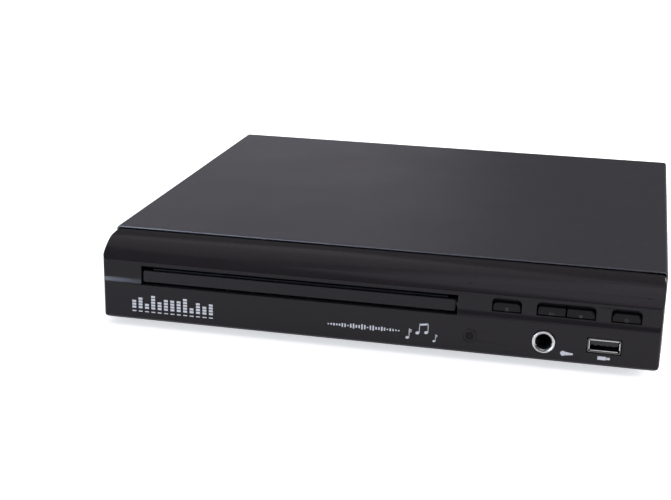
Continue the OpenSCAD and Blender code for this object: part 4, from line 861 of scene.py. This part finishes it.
bm = bmesh.new()
STICK_Z = 2.9
flat_bar(bm, USB_MID_X / MM - 0.6, STICK_Z, 3.4, 1.5)
flat_bar(bm, USB_MID_X / MM + 1.9, STICK_Z, 1.3, 1.0)
stick_sign = printed("print_memory_stick", bm)
print("prints:", [o.name for o in (bars, wave, notes, mic_sign, stick_sign)])

# %% [markdown]
# ## Signs on the buttons
#
# Each button has a small raised sign, moulded in the cap's own plastic, for what it does: open and
# close, play and pause, stop, standby. Raised signs wear a little, so they are a shade lighter.

# %% Raised signs
moulded("sign_worn", (0.03, 0.028, 0.03), 0.3, 5200, 0.000004, specular=0.2, dusty=0.02)


SIGN_Z = 23.5 * MM
SIGN_RISE = 0.04 * MM
SIGN_SEAT = 0.005 * MM


def sign_on(number):
    """Where the middle of a button's sign lies on its face."""
    low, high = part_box(f"button_{number}")
    return Vector(((low.x + high.x) / 2, low.y, SIGN_Z))


def raised(number, bm):
    """Lays a sign on a button, whose body it rides on."""
    seat = sign_on(number) + Vector((0, SIGN_SEAT, 0))
    return printed(f"button_sign_{number}", bm, finish=FINISHES["sign_worn"],
                   body=BODY_OF[f"button_{number}"], lift=SIGN_RISE, base=seat)


def flat_triangle(bm, x, z, size, turn):
    """A filled triangle on the face, as a round of three sides."""
    return flat_round(bm, x, z, size, size, turn, segments=3)


bm = bmesh.new()
flat_triangle(bm, 0, 0.35, 1.5, math.pi)
flat_bar(bm, 0, -0.45, 1.4, 0.25)
raised(1, bm)
bm = bmesh.new()
flat_triangle(bm, -0.5, 0, 1.4, -math.pi / 2)
flat_bar(bm, 0.5, 0, 0.22, 1.1)
flat_bar(bm, 1.0, 0, 0.22, 1.1)
raised(2, bm)
bm = bmesh.new()
flat_bar(bm, 0, 0, 1.1, 1.1)
raised(3, bm)
STANDBY_R = 0.62
bm = bmesh.new()
for k in range(9):
    turn = math.radians(-140 + 35 * k)
    dot_x = STANDBY_R * math.sin(turn + math.pi)
    dot_z = STANDBY_R * math.cos(turn + math.pi)
    flat_round(bm, dot_x, dot_z, 0.42, 0.3, 0, 10)
flat_bar(bm, 0, 0.5, 0.24, 0.9)
raised(4, bm)
print("signs on", BUTTON_COUNT, "buttons")

# %% [markdown]
# ## Finer copies of the small fittings
#
# The feet, screws, sockets and the disc's turntable get the same rounded edges as the casing.

# %% Fittings
FITTING_SHARP = 30
fittings = []
for corner in ("front_left", "front_right", "rear_left", "rear_right"):
    foot = finer_copy(f"foot_{corner}", f"foot_pad_{corner}", edge=0.4 * MM, sharp=FITTING_SHARP)
    fittings.append(foot)
for node, name, edge in (
    ("cover_screws", "cover_screw_heads", 0.08),
    ("av_barrels", "socket_barrels", 0.15),
    ("av_insulators", "socket_cores", 0.15),
    ("av_socket_block", "socket_block", 0.25),
    ("mains_inlet", "inlet_body", 0.2),
    ("turntable", "turntable_hub", 0.12),
    ("clamper_puck", "clamper_disc", 0.12),
):
    fittings.append(finer_copy(node, name, edge=edge * MM, sharp=FITTING_SHARP))
print("small fittings:", [o.name for o in fittings])

# %% [markdown]
# ### Colours of the sockets at the back
#
# Phono sockets are told apart by the colour of their cores. The cores share one mesh, so the material
# picks the colour by place: Object coordinates tell which column and which row a point is in.

# %% Coloured cores
core_low, core_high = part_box("av_insulators")
tree, shader = start_finish("core_colours", 0.4)
place = tree.nodes.new("ShaderNodeTexCoord")
parts = tree.nodes.new("ShaderNodeSeparateXYZ")
tree.links.new(place.outputs["Object"], parts.inputs["Vector"])


def beyond(tree, value, limit):
    """1 where the value is over the limit."""
    node = tree.nodes.new("ShaderNodeMath")
    node.operation = "GREATER_THAN"
    node.inputs[1].default_value = limit
    tree.links.new(value, node.inputs[0])
    return node.outputs[0]


third = (core_high.x - core_low.x) / 3
second_column = beyond(tree, parts.outputs["X"], core_low.x + third)
third_column = beyond(tree, parts.outputs["X"], core_low.x + 2 * third)
upper_row = beyond(tree, parts.outputs["Z"], (core_low.z + core_high.z) / 2)
LOWER_COLOURS = ((0.5, 0.02, 0.015), (0.68, 0.67, 0.63), (0.68, 0.45, 0.02))
UPPER_COLOURS = ((0.5, 0.02, 0.015), (0.02, 0.06, 0.4), (0.02, 0.25, 0.05))


def by_column(colours):
    """The colour of one row of cores, picked by the column."""
    two = tint(tree, second_column, colours[0], colours[1])
    return lay_over(tree, third_column, two, colours[2])


rows = tree.nodes.new("ShaderNodeMix")
rows.data_type = "RGBA"
tree.links.new(upper_row, rows.inputs["Factor"])
tree.links.new(by_column(LOWER_COLOURS), rows.inputs["A"])
tree.links.new(by_column(UPPER_COLOURS), rows.inputs["B"])
tree.links.new(rows.outputs["Result"], shader.inputs["Base Color"])
skin = place_group(tree, grain, Grains_per_metre=3000)
bump(tree, shader, skin["Height"], 0.00001)
cores = bpy.data.objects["socket_cores"]
cores.data.materials.clear()
cores.data.materials.append(FINISHES["core_colours"])
print("cores:", cores.name)
